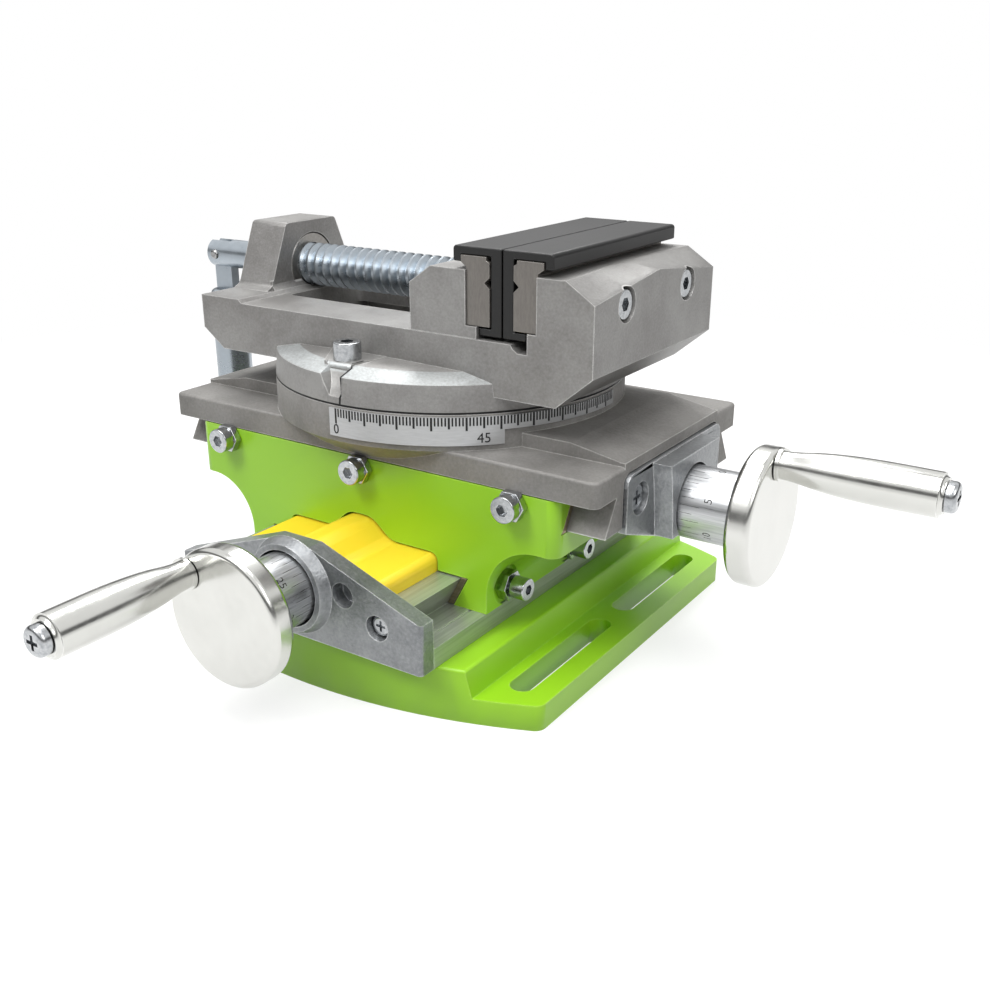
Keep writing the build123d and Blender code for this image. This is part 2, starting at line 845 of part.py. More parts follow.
with BuildPart() as saddle:
    with BuildSketch(Plane.XZ):
        with BuildLine():
            left_x = saddle_shift - saddle_width / 2
            arc_x = waist_x + saddle_arc_r
            Polyline((-waist_x, arm_z - saddle_arc_r), (-waist_x, saddle_z), (waist_x, saddle_z),
                     (waist_x, arm_z - saddle_arc_r))
            ThreePointArc(
                (waist_x, arm_z - saddle_arc_r),
                (arc_x - saddle_arc_r * cos(radians(45)), arm_z - saddle_arc_r * (1 - sin(radians(45)))),
                (arc_x, arm_z))
            Polyline((arc_x, arm_z), (saddle_right_x, arm_z), (saddle_right_x, saddle_top_z),
                     (left_x, saddle_top_z), (left_x, arm_z), (-arc_x, arm_z))
            ThreePointArc(
                (-arc_x, arm_z),
                (-arc_x + saddle_arc_r * cos(radians(45)), arm_z - saddle_arc_r * (1 - sin(radians(45)))),
                (-waist_x, arm_z - saddle_arc_r))
        make_face()
    extrude(amount=saddle_depth / 2, both=True)
    corners = saddle.edges().filter_by(Axis.Z).group_by(Axis.X)
    fillet(corners[0] + corners[-1], saddle_corner_r)
    with BuildSketch(Plane.XZ):
        add_outline([
            (-rail_half(below_z) - slide_gap, below_z),
            (-rail_half(ceiling_z) - slide_gap, ceiling_z),
            (rail_half(ceiling_z) + gib_seat + gib_back_gap, ceiling_z),
            (rail_half(below_z) + gib_seat + gib_back_gap, below_z),
        ])
        with BuildLine():
            FilletPolyline(
                (wing_half, rail_top_z), (wing_half, cover_wing_z + free_gap),
                (cover_foot_width / 2 + free_gap, cover_wing_z + free_gap),
                (cover_peak_width / 2 + free_gap, cover_peak_z + free_gap),
                (-cover_peak_width / 2 - free_gap, cover_peak_z + free_gap),
                (-cover_foot_width / 2 - free_gap, cover_wing_z + free_gap),
                (-wing_half, cover_wing_z + free_gap), (-wing_half, rail_top_z),
                radius=[cover_corner_r] + hump_radii + [cover_corner_r])
            Line((-wing_half, rail_top_z), (wing_half, rail_top_z))
        make_face()
    extrude(amount=saddle_depth, both=True, mode=Mode.SUBTRACT)
    with BuildSketch(Plane.YZ):
        add_outline([
            (-tail_half(above_z) - gib_seat - gib_back_gap, above_z),
            (-tail_half(saddle_floor_z) - gib_seat - gib_back_gap, saddle_floor_z),
            (tail_half(saddle_floor_z) + slide_gap, saddle_floor_z),
            (tail_half(above_z) + slide_gap, above_z),
        ])
    extrude(amount=saddle_width, both=True, mode=Mode.SUBTRACT)
    with BuildSketch(Plane.YZ):
        add_outline(mirrored([(saddle_groove_width / 2, saddle_groove_floor),
                              (saddle_groove_width / 2, above_z)]))
    extrude(amount=saddle_width, both=True, mode=Mode.SUBTRACT)
    cut_holes(side(saddle_right_x), [(0, upper_z)], collar_r + collar_pocket_gap, collar_pocket_depth)
    with BuildSketch(Plane.XY.offset(cover_wing_z)):
        Rectangle(nut_width + 2 * seat_gap, nut_depth + 2 * seat_gap)
    extrude(amount=saddle_floor_z - cover_wing_z, mode=Mode.SUBTRACT)
    cut_holes(Plane.XY.offset(saddle_floor_z), [(0, s * nut_screw_y) for s in (-1, 1)],
              m3_r + running_gap, nut_screw_depth)
    cut_holes(front(-front_face_y), gib_screw_spots, m4_r + running_gap,
              (saddle_depth - tail_root_width) / 2)
    cut_holes(side(waist_x + saddle_arc_r), side_screw_spots, side_pocket_r,
              waist_x + saddle_arc_r - pocket_floor_x)
    cut_holes(side(waist_x), side_screw_spots, m4_r + running_gap, waist_x - rail_root_width / 2)

with BuildPart() as lower_gib:
    gib_low = saddle_z + gib_end_gap
    gib_high = ceiling_z - gib_end_gap
    with BuildSketch(Plane.XZ):
        add_outline([
            (rail_half(gib_low) + slide_gap, gib_low),
            (rail_half(gib_low) + slide_gap + gib_thick, gib_low),
            (rail_half(gib_high) + slide_gap + gib_thick, gib_high),
            (rail_half(gib_high) + slide_gap, gib_high),
        ])
    extrude(amount=saddle_depth / 2, both=True)

with BuildPart() as upper_gib:
    gib_low = saddle_floor_z + gib_end_gap
    gib_high = saddle_top_z - gib_end_gap
    with BuildSketch(side(saddle_shift)):
        add_outline([
            (-tail_half(gib_low) - slide_gap, gib_low),
            (-tail_half(gib_low) - slide_gap - gib_thick, gib_low),
            (-tail_half(gib_high) - slide_gap - gib_thick, gib_high),
            (-tail_half(gib_high) - slide_gap, gib_high),
        ])
    extrude(amount=saddle_width / 2, both=True)

front_gib_nuts = make_hex_nuts(
    front(-front_face_y + gib_nut_gap), gib_screw_spots, nut_m4_flat, nut_thin, m4_r + running_gap)
front_screw_seat = -front_face_y + gib_nut_gap + nut_thin + gib_head_gap
front_gib_screws = make_screws(
    front(front_screw_seat), gib_screw_spots, m4_r,
    front_screw_seat - tail_half(gib_screw_z - m4_r) - gib_seat - slide_gap, gib_head_r, gib_head)
side_gib_nuts = make_hex_nuts(
    side(pocket_floor_x + gib_nut_gap), side_screw_spots, nut_m4_flat, nut_m4_thick, m4_r + running_gap)
side_screw_seat = pocket_floor_x + gib_nut_gap + nut_m4_thick + side_head_gap
side_gib_screws = make_screws(
    side(side_screw_seat), side_screw_spots, m4_r,
    side_screw_seat - rail_half(side_screw_z + m4_r) - gib_seat - slide_gap, side_head_r, side_head)

# Cross nut: one block, threaded along Y for the lower screw and along X for the upper one
nut_low_z = lower_z - nut_foot_drop
nut_top_z = upper_z + nut_boss_rise
nut_screw_spots = [(0, s * nut_screw_y) for s in (-1, 1)]

with BuildPart() as cross_nut:
    with BuildSketch(Plane.XY.offset(nut_low_z)):
        Rectangle(nut_width, nut_depth)
    extrude(amount=nut_top_z - nut_low_z)
    with BuildSketch(Plane.XY.offset(saddle_floor_z)):
        Rectangle(nut_width, nut_flange_depth)
    extrude(amount=nut_flange_thick)
    cut_holes(front(nut_depth), [(0, lower_z)], lead_screw_r + running_gap, 2 * nut_depth)
    cut_holes(side(nut_width), [(0, upper_z)], lead_screw_r + running_gap, 2 * nut_width)
    cut_holes(Plane.XY.offset(saddle_floor_z + nut_flange_thick), nut_screw_spots,
              m3_r + bore_gap / 2, nut_flange_thick)

cross_nut_screws = make_screws(
    Plane.XY.offset(saddle_floor_z + nut_flange_thick), nut_screw_spots,
    m3_r, nut_flange_thick + nut_screw_depth - nut_screw_end_gap, nut_screw_head_r, nut_screw_head)

# Table: plate, raised band, round top with a ring slot, and the dovetail that runs in the saddle
upper_flange_top = table_top_z - upper_flange_top_drop
upper_bracket_spots = [(s * upper_bracket_screw_y, table_z - upper_bracket_screw_drop) for s in (-1, 1)]
table_half = table_length / 2
flare_low_z = table_top_z - disc_flare_drop
clamp_spots = [
    (table_x + clamp_circle_r * cos(radians(clamp_angle + turn)),
     clamp_circle_r * sin(radians(clamp_angle + turn))) for turn in (0, 180)
]

with BuildPart() as table:
    with BuildSketch(side(at_table(0))):
        add_outline(mirrored([
            (tail_foot_width / 2, tail_z), (tail_root_width / 2, table_z),
            (table_depth / 2, table_z), (table_depth / 2, table_top_z),
        ]))
    extrude(amount=table_half, both=True)
    plate_corners = table.edges().filter_by(Axis.Z)
    fillet(plate_corners, table_corner_r)
    ends = table.edges().filter_by(Axis.Y).group_by(Axis.Z)[-1]
    fillet(ends, table_edge_round)
    with BuildSketch(Plane.XZ):
        with BuildLine():
            Polyline(
                (at_table(-table_half), table_z), (at_table(table_half), table_z),
                (at_table(table_half), table_top_z + band_end_height),
                (at_table(table_half - band_slope_end), table_top_z + band_end_height),
                (at_table(band_flat_half), table_top_z + band_height),
                (at_table(-band_flat_half), table_top_z + band_height),
                (at_table(-table_half + band_slope_end), table_top_z + band_end_height),
                (at_table(-table_half), table_top_z + band_end_height), close=True)
        make_face()
    extrude(amount=band_width / 2, both=True)
    with BuildSketch(Plane.XZ.shift_origin((at_table(0), 0, 0))):
        with BuildLine():
            Polyline(
                (0, flare_low_z), (disc_flare_foot_r, flare_low_z),
                (disc_r, table_top_z), (disc_r, disc_z), (0, disc_z), close=True)
        make_face()
    revolve(axis=Axis((at_table(0), 0, 0), (0, 0, 1)))
    with BuildSketch(side(at_table(0))):
        add_outline(mirrored([
            (table_channel_width / 2, tail_z - overcut),
            (table_channel_width / 2, tail_z + table_channel_height)]))
    extrude(amount=table_length, both=True, mode=Mode.SUBTRACT)
    with BuildSketch(side(flange_x)):
        with BuildLine():
            half_pocket = upper_flange_width / 2 + pocket_gap
            FilletPolyline(
                (-half_pocket, tail_z - overcut), (-half_pocket, upper_flange_top + pocket_gap),
                (half_pocket, upper_flange_top + pocket_gap), (half_pocket, tail_z - overcut),
                radius=upper_flange_corner_r)
            Line((half_pocket, tail_z - overcut), (-half_pocket, tail_z - overcut))
        make_face()
    extrude(amount=2 * flange_pocket, mode=Mode.SUBTRACT)
    with BuildSketch(Plane.XY.offset(disc_z)):
        with Locations((at_table(0), 0)):
            Circle(clamp_circle_r + ring_neck_width / 2)
            Circle(clamp_circle_r - ring_neck_width / 2, mode=Mode.SUBTRACT)
    extrude(amount=-ring_depth, mode=Mode.SUBTRACT)
    with BuildSketch(Plane.XY.offset(disc_z - ring_depth)):
        with Locations((at_table(0), 0)):
            Circle(clamp_circle_r + ring_width / 2)
            Circle(clamp_circle_r - ring_width / 2, mode=Mode.SUBTRACT)
    extrude(amount=ring_depth - ring_neck_depth, mode=Mode.SUBTRACT)
    cut_holes(Plane.XY.offset(disc_z), [
        (at_table(clamp_circle_r * cos(radians(ring_entry_angle))),
         clamp_circle_r * sin(radians(ring_entry_angle)))], ring_width / 2 + ring_entry_gap, ring_depth)
    cut_holes(Plane.XY.offset(disc_z), [(at_table(0), 0)], pivot_r + seat_gap, pivot_sink)
    cut_holes(side(flange_x), upper_bracket_spots, m4_r + running_gap, bracket_screw_length)

# Pivot pin: sits in the table and carries the vise body's centre
with BuildPart() as pivot_pin:
    with BuildSketch(Plane.XY.offset(disc_z - pivot_sink)):
        with Locations((at_table(0), 0)):
            Circle(pivot_r)
    extrude(amount=pivot_sink + pivot_rise)
    chamfer(pivot_pin.edges().group_by(Axis.Z)[-1], shaft_chamfer)

# Scale plate: a thin strip bent round the disc's rim, deeper over its first half
scale_high_z = disc_z - scale_drop
with BuildPart() as scale_plate:
    for first, last, tall in ((scale_start, scale_step_at, scale_height),
                              (scale_step_at, scale_end, scale_small_height)):
        start_plane = Plane(
            (at_table(0), 0, 0),
            x_dir=(sin(radians(first)), -cos(radians(first)), 0),
            z_dir=(-cos(radians(first)), -sin(radians(first)), 0))
        with BuildSketch(start_plane):
            with Locations((disc_r + scale_thick / 2, scale_high_z - tall / 2)):
                Rectangle(scale_thick, tall)
        revolve(axis=Axis((at_table(0), 0, 0), (0, 0, 1)), revolution_arc=last - first)

# Upper bracket: a flange let into the table's end, and a boss with concave sides round the dial
flange_side_z = upper_flange_top - upper_flange_side
flange_low_z = upper_flange_top - upper_flange_drop
boss_half = upper_boss_width / 2
boss_top_z = upper_flange_top - seat_gap
boss_low_z = upper_z - upper_boss_drop

with BuildPart() as upper_bracket:
    with BuildSketch(side(flange_x)):
        half_w = upper_flange_width / 2
        peak_w = upper_flange_peak_width / 2
        with BuildLine():
            FilletPolyline(
                (half_w, flange_side_z), (half_w, upper_flange_top), (-half_w, upper_flange_top),
                (-half_w, flange_side_z), radius=upper_flange_corner_r)
            Line((-half_w, flange_side_z), (-peak_w, flange_low_z))
            ThreePointArc(
                (-peak_w, flange_low_z), (0, flange_low_z - upper_flange_crown), (peak_w, flange_low_z))
            Line((peak_w, flange_low_z), (half_w, flange_side_z))
        make_face()
    extrude(amount=flange_face_x - flange_x)
    with BuildSketch(side(flange_face_x - overcut)):
        waist = boss_half - upper_boss_waist
        waist_z = upper_z + upper_boss_waist_rise
        foot = boss_half - upper_boss_taper
        with BuildLine():
            Line((boss_half, boss_top_z), (-boss_half, boss_top_z))
            ThreePointArc((-boss_half, boss_top_z), (-waist, waist_z), (-foot, boss_low_z))
            Line((-foot, boss_low_z), (foot, boss_low_z))
            ThreePointArc((foot, boss_low_z), (waist, waist_z), (boss_half, boss_top_z))
        make_face()
    extrude(amount=upper_boss_stand + overcut)
    cut_holes(side(upper_boss_x), [(0, upper_z)], dial_bore_r, upper_boss_x - upper_bore_x)
    cut_holes(side(upper_boss_x), [(0, upper_z)], journal_r + running_gap, upper_boss_x - flange_x)
    cut_holes(side(flange_face_x), upper_bracket_spots, m4_r + bore_gap / 2, flange_face_x - flange_x)
    cut_holes(side(flange_face_x), upper_bracket_spots, m4_pan_head_r + pan_bore_gap, upper_bracket_sink)

upper_bracket_screws = make_screws(
    side(flange_face_x - upper_bracket_sink), upper_bracket_spots,
    m4_r, bracket_screw_length, m4_pan_head_r, pan_head, drive="cross", round_head=pan_head_round)

# Vise body: turntable disc, bed, fixed jaw and nut block in one casting
bed_low_z = vise_z + bed_under_height
bed_end_z = vise_z + bed_end_height
chamber_floor_z = vise_z + chamber_floor
chamber_roof_z = vise_z + chamber_roof
jaw_step_z = vise_z + fixed_step_height
plate_low_z = jaw_step_z + plate_foot_gap
jaw_back_foot_z = vise_z + fixed_back_foot
block_top_z = vise_z + block_top_height
bed_half = bed_depth / 2
tongue_mid_x = (jaw_back_x + jaw_toe_x) / 2
fixed_screw_spots = [(s * jaw_screw_y, jaw_top_z - fixed_screw_drop) for s in (-1, 1)]
moving_screw_spots = [(s * jaw_screw_y, jaw_top_z - moving_screw_drop) for s in (-1, 1)]
clamp_seat_z = vise_z + index_boss_height

def make_index_scoop(hand):
    # the hollow under an index boss: concave from the rim up to the boss, narrower at its foot
    low_z = vise_z + index_scoop_low
    boss_y = index_boss_face - index_boss_round
    top_z = clamp_seat_z + overcut
    with BuildPart() as scoop:
        with BuildSketch(Plane.YZ):
            with BuildLine():
                Polyline((hand * boss_y, top_z), (hand * (disc_r + overcut), top_z),
                         (hand * (disc_r + overcut), low_z), (hand * disc_r, low_z))
                ThreePointArc(
                    (hand * disc_r, low_z), (hand * index_scoop_mid_y, vise_z + index_scoop_mid),
                    (hand * index_boss_face, vise_z + index_scoop_high))
                ThreePointArc(
                    (hand * index_boss_face, vise_z + index_scoop_high),
                    (hand * (index_boss_face - index_boss_round * (1 - cos(radians(45)))),
                     clamp_seat_z - index_boss_round * (1 - sin(radians(45)))),
                    (hand * boss_y, clamp_seat_z))
                Line((hand * boss_y, clamp_seat_z), (hand * boss_y, top_z))
            make_face()
        extrude(amount=disc_r, both=True)
        with BuildSketch(Plane.XZ):
            add_outline([(at_table(-hand * x), z) for x, z in (
                (index_boss_left, top_z), (index_boss_right, top_z),
                (index_scoop_foot_right, low_z), (index_scoop_foot_left, low_z))])
        extrude(amount=2 * disc_r, both=True, mode=Mode.INTERSECT)
    return scoop


index_scoops = {}
for hand in (-1, 1):
    index_scoops[hand] = make_index_scoop(hand)

with BuildPart() as vise_body:
    with BuildSketch(Plane.XZ.shift_origin((at_table(0), 0, 0))):
        with BuildLine():
            Polyline(
                (0, vise_z), (disc_r, vise_z), (body_disc_top_r, vise_z + body_disc_height),
                (body_crown_r, vise_z + body_disc_height + body_chamfer_height),
                (bed_half, vise_z + body_crown_height), (0, vise_z + body_crown_height), close=True)
        make_face()
    revolve(axis=Axis((at_table(0), 0, 0), (0, 0, 1)))
    with BuildSketch(Plane.XZ):
        add_outline([(at_table(x), z) for x, z in (
            (bed_left + bed_end_cut, bed_low_z),
            (bed_right - fixed_back_run, bed_low_z),
            (bed_right, jaw_back_foot_z),
            (bed_right, bed_z),
            (bed_left, bed_z),
            (bed_left, bed_end_z),
        )])
    extrude(amount=bed_half, both=True)
    with BuildSketch(Plane.XZ):
        add_outline([(at_table(x), z) for x, z in (
            (bed_left, bed_z - overcut),
            (bed_pad_end + bed_pad_rise, bed_z - overcut),
            (bed_pad_end + bed_pad_rise, bed_z),
            (bed_pad_end, bed_z + bed_pad_rise),
            (bed_left, bed_z + bed_pad_rise),
        )])
    extrude(amount=bed_half, both=True)
    for hand in (-1, 1):
        middle = Plane((0, 0, 0), x_dir=(1, 0, 0), z_dir=(0, hand, 0))
        edge = middle.offset(bed_half)
        for plane, bevel_x, drop in ((middle, bevel_mid_x, bevel_mid_drop),
                                     (edge, bevel_side_x, bevel_side_drop)):
            with BuildSketch(plane):
                add_outline([(at_table(x), -hand * z) for x, z in (
                    (fixed_foot_x, bed_z - overcut),
                    (fixed_foot_x, jaw_step_z),
                    (fixed_face_x, jaw_step_z),
                    (fixed_face_x, jaw_top_z),
                    (bevel_x, jaw_top_z),
                    (bed_right, jaw_top_z - drop),
                    (bed_right, bed_z - overcut),
                )])
        loft(ruled=True)
    with BuildSketch(side(at_table(block_left))):
        with BuildLine():
            crest = FilletPolyline(
                (block_foot_half + block_foot_spread, bed_z - overcut),
                (block_foot_half + block_foot_spread, bed_z + bed_pad_rise),
                (block_foot_half, bed_z + bed_pad_rise + block_foot_rise),
                (block_mid_half, block_top_z - block_mid_drop),
                (block_top_half, block_top_z), (-block_top_half, block_top_z),
                (-block_mid_half, block_top_z - block_mid_drop),
                (-block_foot_half, bed_z + bed_pad_rise + block_foot_rise),
                (-block_foot_half - block_foot_spread, bed_z + bed_pad_rise),
                (-block_foot_half - block_foot_spread, bed_z - overcut),
                radius=[block_step_round, block_foot_r, block_side_round, block_top_round,
                        block_top_round, block_side_round, block_foot_r, block_step_round])
            Line(crest @ 1, crest @ 0)
        make_face()
    extrude(amount=block_right - block_left)
    with BuildSketch(Plane.XZ):
        with BuildLine():
            Polyline(
                (at_table(block_right) + block_foot_r, bed_z), (at_table(block_right) - overcut, bed_z),
                (at_table(block_right) - overcut, bed_z + bed_pad_rise + block_foot_r),
                (at_table(block_right), bed_z + bed_pad_rise + block_foot_r))
            ThreePointArc(
                (at_table(block_right), bed_z + bed_pad_rise + block_foot_r),
                (at_table(block_right) + block_foot_r * (1 - sin(radians(45))),
                 bed_z + (bed_pad_rise + block_foot_r) * (1 - cos(radians(45)))),
                (at_table(block_right) + block_foot_r, bed_z))
        make_face()
    extrude(amount=block_foot_half, both=True)
    for hand in (-1, 1):
        with BuildSketch(Plane.XY.offset(vise_z + overcut)):
            add_outline([(at_table(-hand * x), hand * y) for x, y in (
                (index_boss_left, index_boss_face), (index_boss_right, index_boss_face),
                (index_boss_root_right, bed_half - overcut), (index_boss_root_left, bed_half - overcut))])
        extrude(amount=index_boss_height - overcut)
        add(index_scoops[hand].part, mode=Mode.SUBTRACT)
    with BuildSketch(Plane.XY.offset(bed_z + bed_pad_rise)):
        with Locations((at_table((bed_slot_left + bed_slot_right) / 2), 0)):
            RectangleRounded(bed_slot_right - bed_slot_left, bed_slot_width, bed_slot_corner_r)
    extrude(amount=chamber_floor_z - bed_z - bed_pad_rise, mode=Mode.SUBTRACT)
    with BuildSketch(Plane.XY.offset(chamber_floor_z)):
        with Locations((at_table((bed_slot_left + bed_slot_right) / 2), 0)):
            Rectangle(bed_slot_right - bed_slot_left, chamber_width)
    extrude(amount=chamber_roof_z - chamber_floor_z, mode=Mode.SUBTRACT)
    with BuildSketch(Plane.XZ):
        add_outline([(at_table(x), z) for x, z in (
            (bed_slot_right, bed_z),
            (bed_slot_right + relief_lip / 2, bed_z - relief_lip),
            (bed_slot_right + relief_slope, bed_z - relief_depth),
            (fixed_foot_x, bed_z - relief_depth),
            (fixed_foot_x, bed_z + overcut),
            (bed_slot_right, bed_z + overcut),
        )])
    extrude(amount=bed_half + overcut, both=True, mode=Mode.SUBTRACT)
    cut_holes(Plane.XY.offset(chamber_floor_z), [(at_table(tongue_mid_x), 0)], access_r, chamber_floor)
    cut_holes(Plane.XY.offset(vise_z + pivot_rise + seat_gap), [(at_table(0), 0)],
              pivot_r + running_gap, pivot_rise + overcut)
    cut_holes(Plane.XY.offset(clamp_seat_z), clamp_spots, m5_r + bore_gap / 2, index_boss_height)
    cut_holes(side(at_table(block_right)), [(0, vise_axis_z)], bush_r + running_gap,
              block_right - block_left)
    cut_holes(side(at_table(bed_slot_left)), [(0, vise_axis_z)], vise_screw_r + free_gap,
              bed_slot_left - bed_left)
    cut_holes(side(at_table(bed_right)), fixed_screw_spots, m4_head_r + jaw_bore_gap,
              m4_head + jaw_head_sink)
    cut_holes(side(at_table(bed_right)), fixed_screw_spots, m4_r + bore_gap / 2, bed_right - fixed_foot_x)

# Clamp screws: through the vise body into loose nuts in the table's ring slot
clamp_nut_top_z = disc_z - ring_neck_depth - seat_gap
clamp_nut_thick = ring_depth - ring_neck_depth - 2 * seat_gap
clamp_screws = make_screws(
    Plane.XY.offset(clamp_seat_z), clamp_spots, m5_r,
    clamp_seat_z - clamp_nut_top_z + clamp_nut_thick - clamp_screw_end_gap, clamp_head_r, m5_head)

with BuildPart() as clamp_nuts:
    with BuildSketch(Plane.XY.offset(clamp_nut_top_z)):
        with Locations((at_table(0), 0)):
            with PolarLocations(clamp_circle_r, 2, start_angle=clamp_angle):
                Rectangle(clamp_nut_width, clamp_nut_length)
                Circle(m5_r + running_gap, mode=Mode.SUBTRACT)
    extrude(amount=-clamp_nut_thick)

# Thread bush: pressed into the nut block, almost flush with its face on the jaw's side
with BuildPart() as thread_bush:
    with BuildSketch(side(at_table(block_right - bush_sink))):
        with Locations((0, vise_axis_z)):
            Circle(bush_r)
    extrude(amount=block_left - block_right + bush_sink)
    chamfer(thread_bush.edges().group_by(Axis.X)[-1], bush_edge)
    cut_holes(side(at_table(block_right)), [(0, vise_axis_z)], vise_screw_r + running_gap,
              block_right - block_left)

# Movable jaw, with the tongue that runs in the bed's slot
jaw_low_z = bed_z + slide_gap
tongue_low_z = chamber_roof_z - tongue_roof_gap

with BuildPart() as movable_jaw:
    with BuildSketch(Plane.XZ):
        add_outline([(at_table(x), z) for x, z in (
            (jaw_back_x, jaw_low_z),
            (jaw_back_x, vise_z + jaw_bevel_height),
            (jaw_back_x + jaw_bevel_run, jaw_top_z),
            (jaw_face_x, jaw_top_z),
            (jaw_face_x, jaw_step_z),
            (jaw_toe_x, jaw_step_z),
            (jaw_toe_x, jaw_low_z),
        )])
    extrude(amount=bed_half, both=True)
    with BuildSketch(Plane.XY.offset(jaw_low_z)):
        with Locations((at_table(tongue_mid_x), 0)):
            Rectangle(jaw_toe_x - jaw_back_x, bed_slot_width - 2 * tongue_gap)
    extrude(amount=tongue_low_z - jaw_low_z)
    cut_holes(far_side(at_table(jaw_back_x)), [(0, vise_axis_z)],
              tip_r + running_gap, tip_length + seat_gap)
    cut_holes(Plane.XY.offset(tongue_low_z).rotated((180, 0, 0)),
              [(at_table(jaw_back_x + tip_pin_from_face), -tip_groove_r - tip_pin_r - seat_gap)],
              tip_pin_r + running_gap, vise_axis_z + tip_r - tongue_low_z)
    cut_holes(Plane.XY.offset(tongue_low_z).rotated((180, 0, 0)),
              [(at_table(tongue_mid_x), 0)], m4_r + running_gap, keeper_hole_depth)
    cut_holes(far_side(at_table(jaw_back_x)), moving_screw_spots,
              m4_head_r + jaw_bore_gap, m4_head + jaw_head_sink)
    cut_holes(far_side(at_table(jaw_back_x)), moving_screw_spots,
              m4_r + bore_gap / 2, jaw_toe_x - jaw_back_x)

# Keeper: a plate below the bed's slot that holds the jaw down, with its screw from below
keeper_top_z = tongue_low_z
keeper_seat_z = keeper_top_z - keeper_thick + keeper_sink
with BuildPart() as jaw_keeper:
    with BuildSketch(Plane.XY.offset(keeper_top_z)):
        with Locations((at_table(tongue_mid_x), 0)):
            Rectangle(keeper_length, keeper_width)
            Circle(m4_r + bore_gap / 2, mode=Mode.SUBTRACT)
    extrude(amount=-keeper_thick)
    cut_holes(Plane.XY.offset(keeper_seat_z), [(at_table(tongue_mid_x), 0)],
              m4_head_r + bore_gap, keeper_sink)

keeper_screw = make_screws(
    Plane.XY.offset(keeper_seat_z).rotated((180, 0, 0)), [(at_table(tongue_mid_x), 0)], m4_r,
    keeper_thick - keeper_sink + keeper_hole_depth - keeper_screw_end_gap, m4_head_r,
    keeper_sink - keeper_head_gap)

with BuildPart() as jaw_pin:
    with BuildSketch(Plane.XY.offset(tongue_low_z + seat_gap)):
        with Locations((at_table(jaw_back_x + tip_pin_from_face), tip_groove_r + tip_pin_r + seat_gap)):
            Circle(tip_pin_r)
    extrude(amount=vise_axis_z + tip_r - tongue_low_z - jaw_pin_gap)


# Jaw plates and pads: one outline, and its mirror image about the plane where the pads meet
def facing_x(x, hand):
    # hand 1 keeps the movable side, hand -1 mirrors it to the fixed side
    return at_table(x if hand > 0 else 2 * jaw_meet_x - x)


def make_plate(hand, screw_spots):
    plate_face_x = jaw_face_x + plate_thick
    v_z = plate_low_z + plate_v_rise
    hook_z = jaw_top_z + plate_hook_rise
    lip_z = plate_low_z + plate_height
    with BuildPart() as plate:
        with BuildSketch(Plane.XZ):
            add_outline([(facing_x(x, hand), z) for x, z in (
                (jaw_face_x, plate_low_z),
                (plate_face_x, plate_low_z),
                (plate_face_x, v_z - plate_v_half),
                (plate_face_x - plate_v_depth, v_z),
                (plate_face_x, v_z + plate_v_half),
                (plate_face_x, lip_z),
                (plate_hook_lip, lip_z + plate_notch_rise),
                (plate_hook_lip, hook_z + plate_hook_height),
                (plate_hook_x, hook_z + plate_hook_height),
                (plate_hook_x, hook_z),
                (jaw_face_x, jaw_top_z + plate_hook_neck),
            )])
        extrude(amount=plate_width / 2, both=True)
        back_x = facing_x(jaw_face_x, hand)
        tap = far_side(back_x) if hand > 0 else side(back_x)
        cut_holes(tap, screw_spots, m4_r + running_gap, plate_thick - plate_tap_skin)
    return plate


def make_pad(hand):
    meet_x = jaw_meet_x - pad_meet_gap
    top_z = vise_z + pad_top_height
    low_z = bed_z + pad_foot_rise
    roof_z = jaw_top_z + plate_hook_rise + plate_hook_height + pad_roof_gap
    with BuildPart() as pad:
        with BuildSketch(Plane.XZ):
            add_outline([(facing_x(x, hand), z) for x, z in (
                (meet_x, top_z),
                (meet_x, low_z),
                (pad_foot_x, low_z),
                (pad_foot_x, low_z + pad_foot_thick),
                (pad_leg_x, low_z + pad_foot_thick),
                (pad_leg_x, roof_z),
                (plate_hook_x - seat_gap, roof_z),
                (plate_hook_x - seat_gap, top_z - pad_lip_drop),
                (pad_left_x, top_z - pad_lip_drop),
                (pad_left_x, top_z),
            )])
        extrude(amount=pad_width / 2, both=True)
        rims = pad.edges().filter_by(Axis.Y).group_by(Axis.Z)[-1]
        fillet(rims.sort_by(Axis.X)[0 if hand > 0 else -1], pad_round)
    return pad


plate_grip = plate_thick - plate_tap_skin - plate_screw_gap
movable_plate = make_plate(1, moving_screw_spots)
movable_pad = make_pad(1)
fixed_plate = make_plate(-1, fixed_screw_spots)
fixed_pad = make_pad(-1)

fixed_plate_screws = make_screws(
    side(at_table(bed_right - m4_head - jaw_head_sink)), fixed_screw_spots, m4_r,
    bed_right - m4_head - jaw_head_sink - fixed_face_x + plate_grip, m4_head_r, m4_head)
movable_plate_screws = make_screws(
    far_side(at_table(jaw_back_x + m4_head + jaw_head_sink)), moving_screw_spots, m4_r,
    jaw_face_x - jaw_back_x - m4_head - jaw_head_sink + plate_grip, m4_head_r, m4_head)

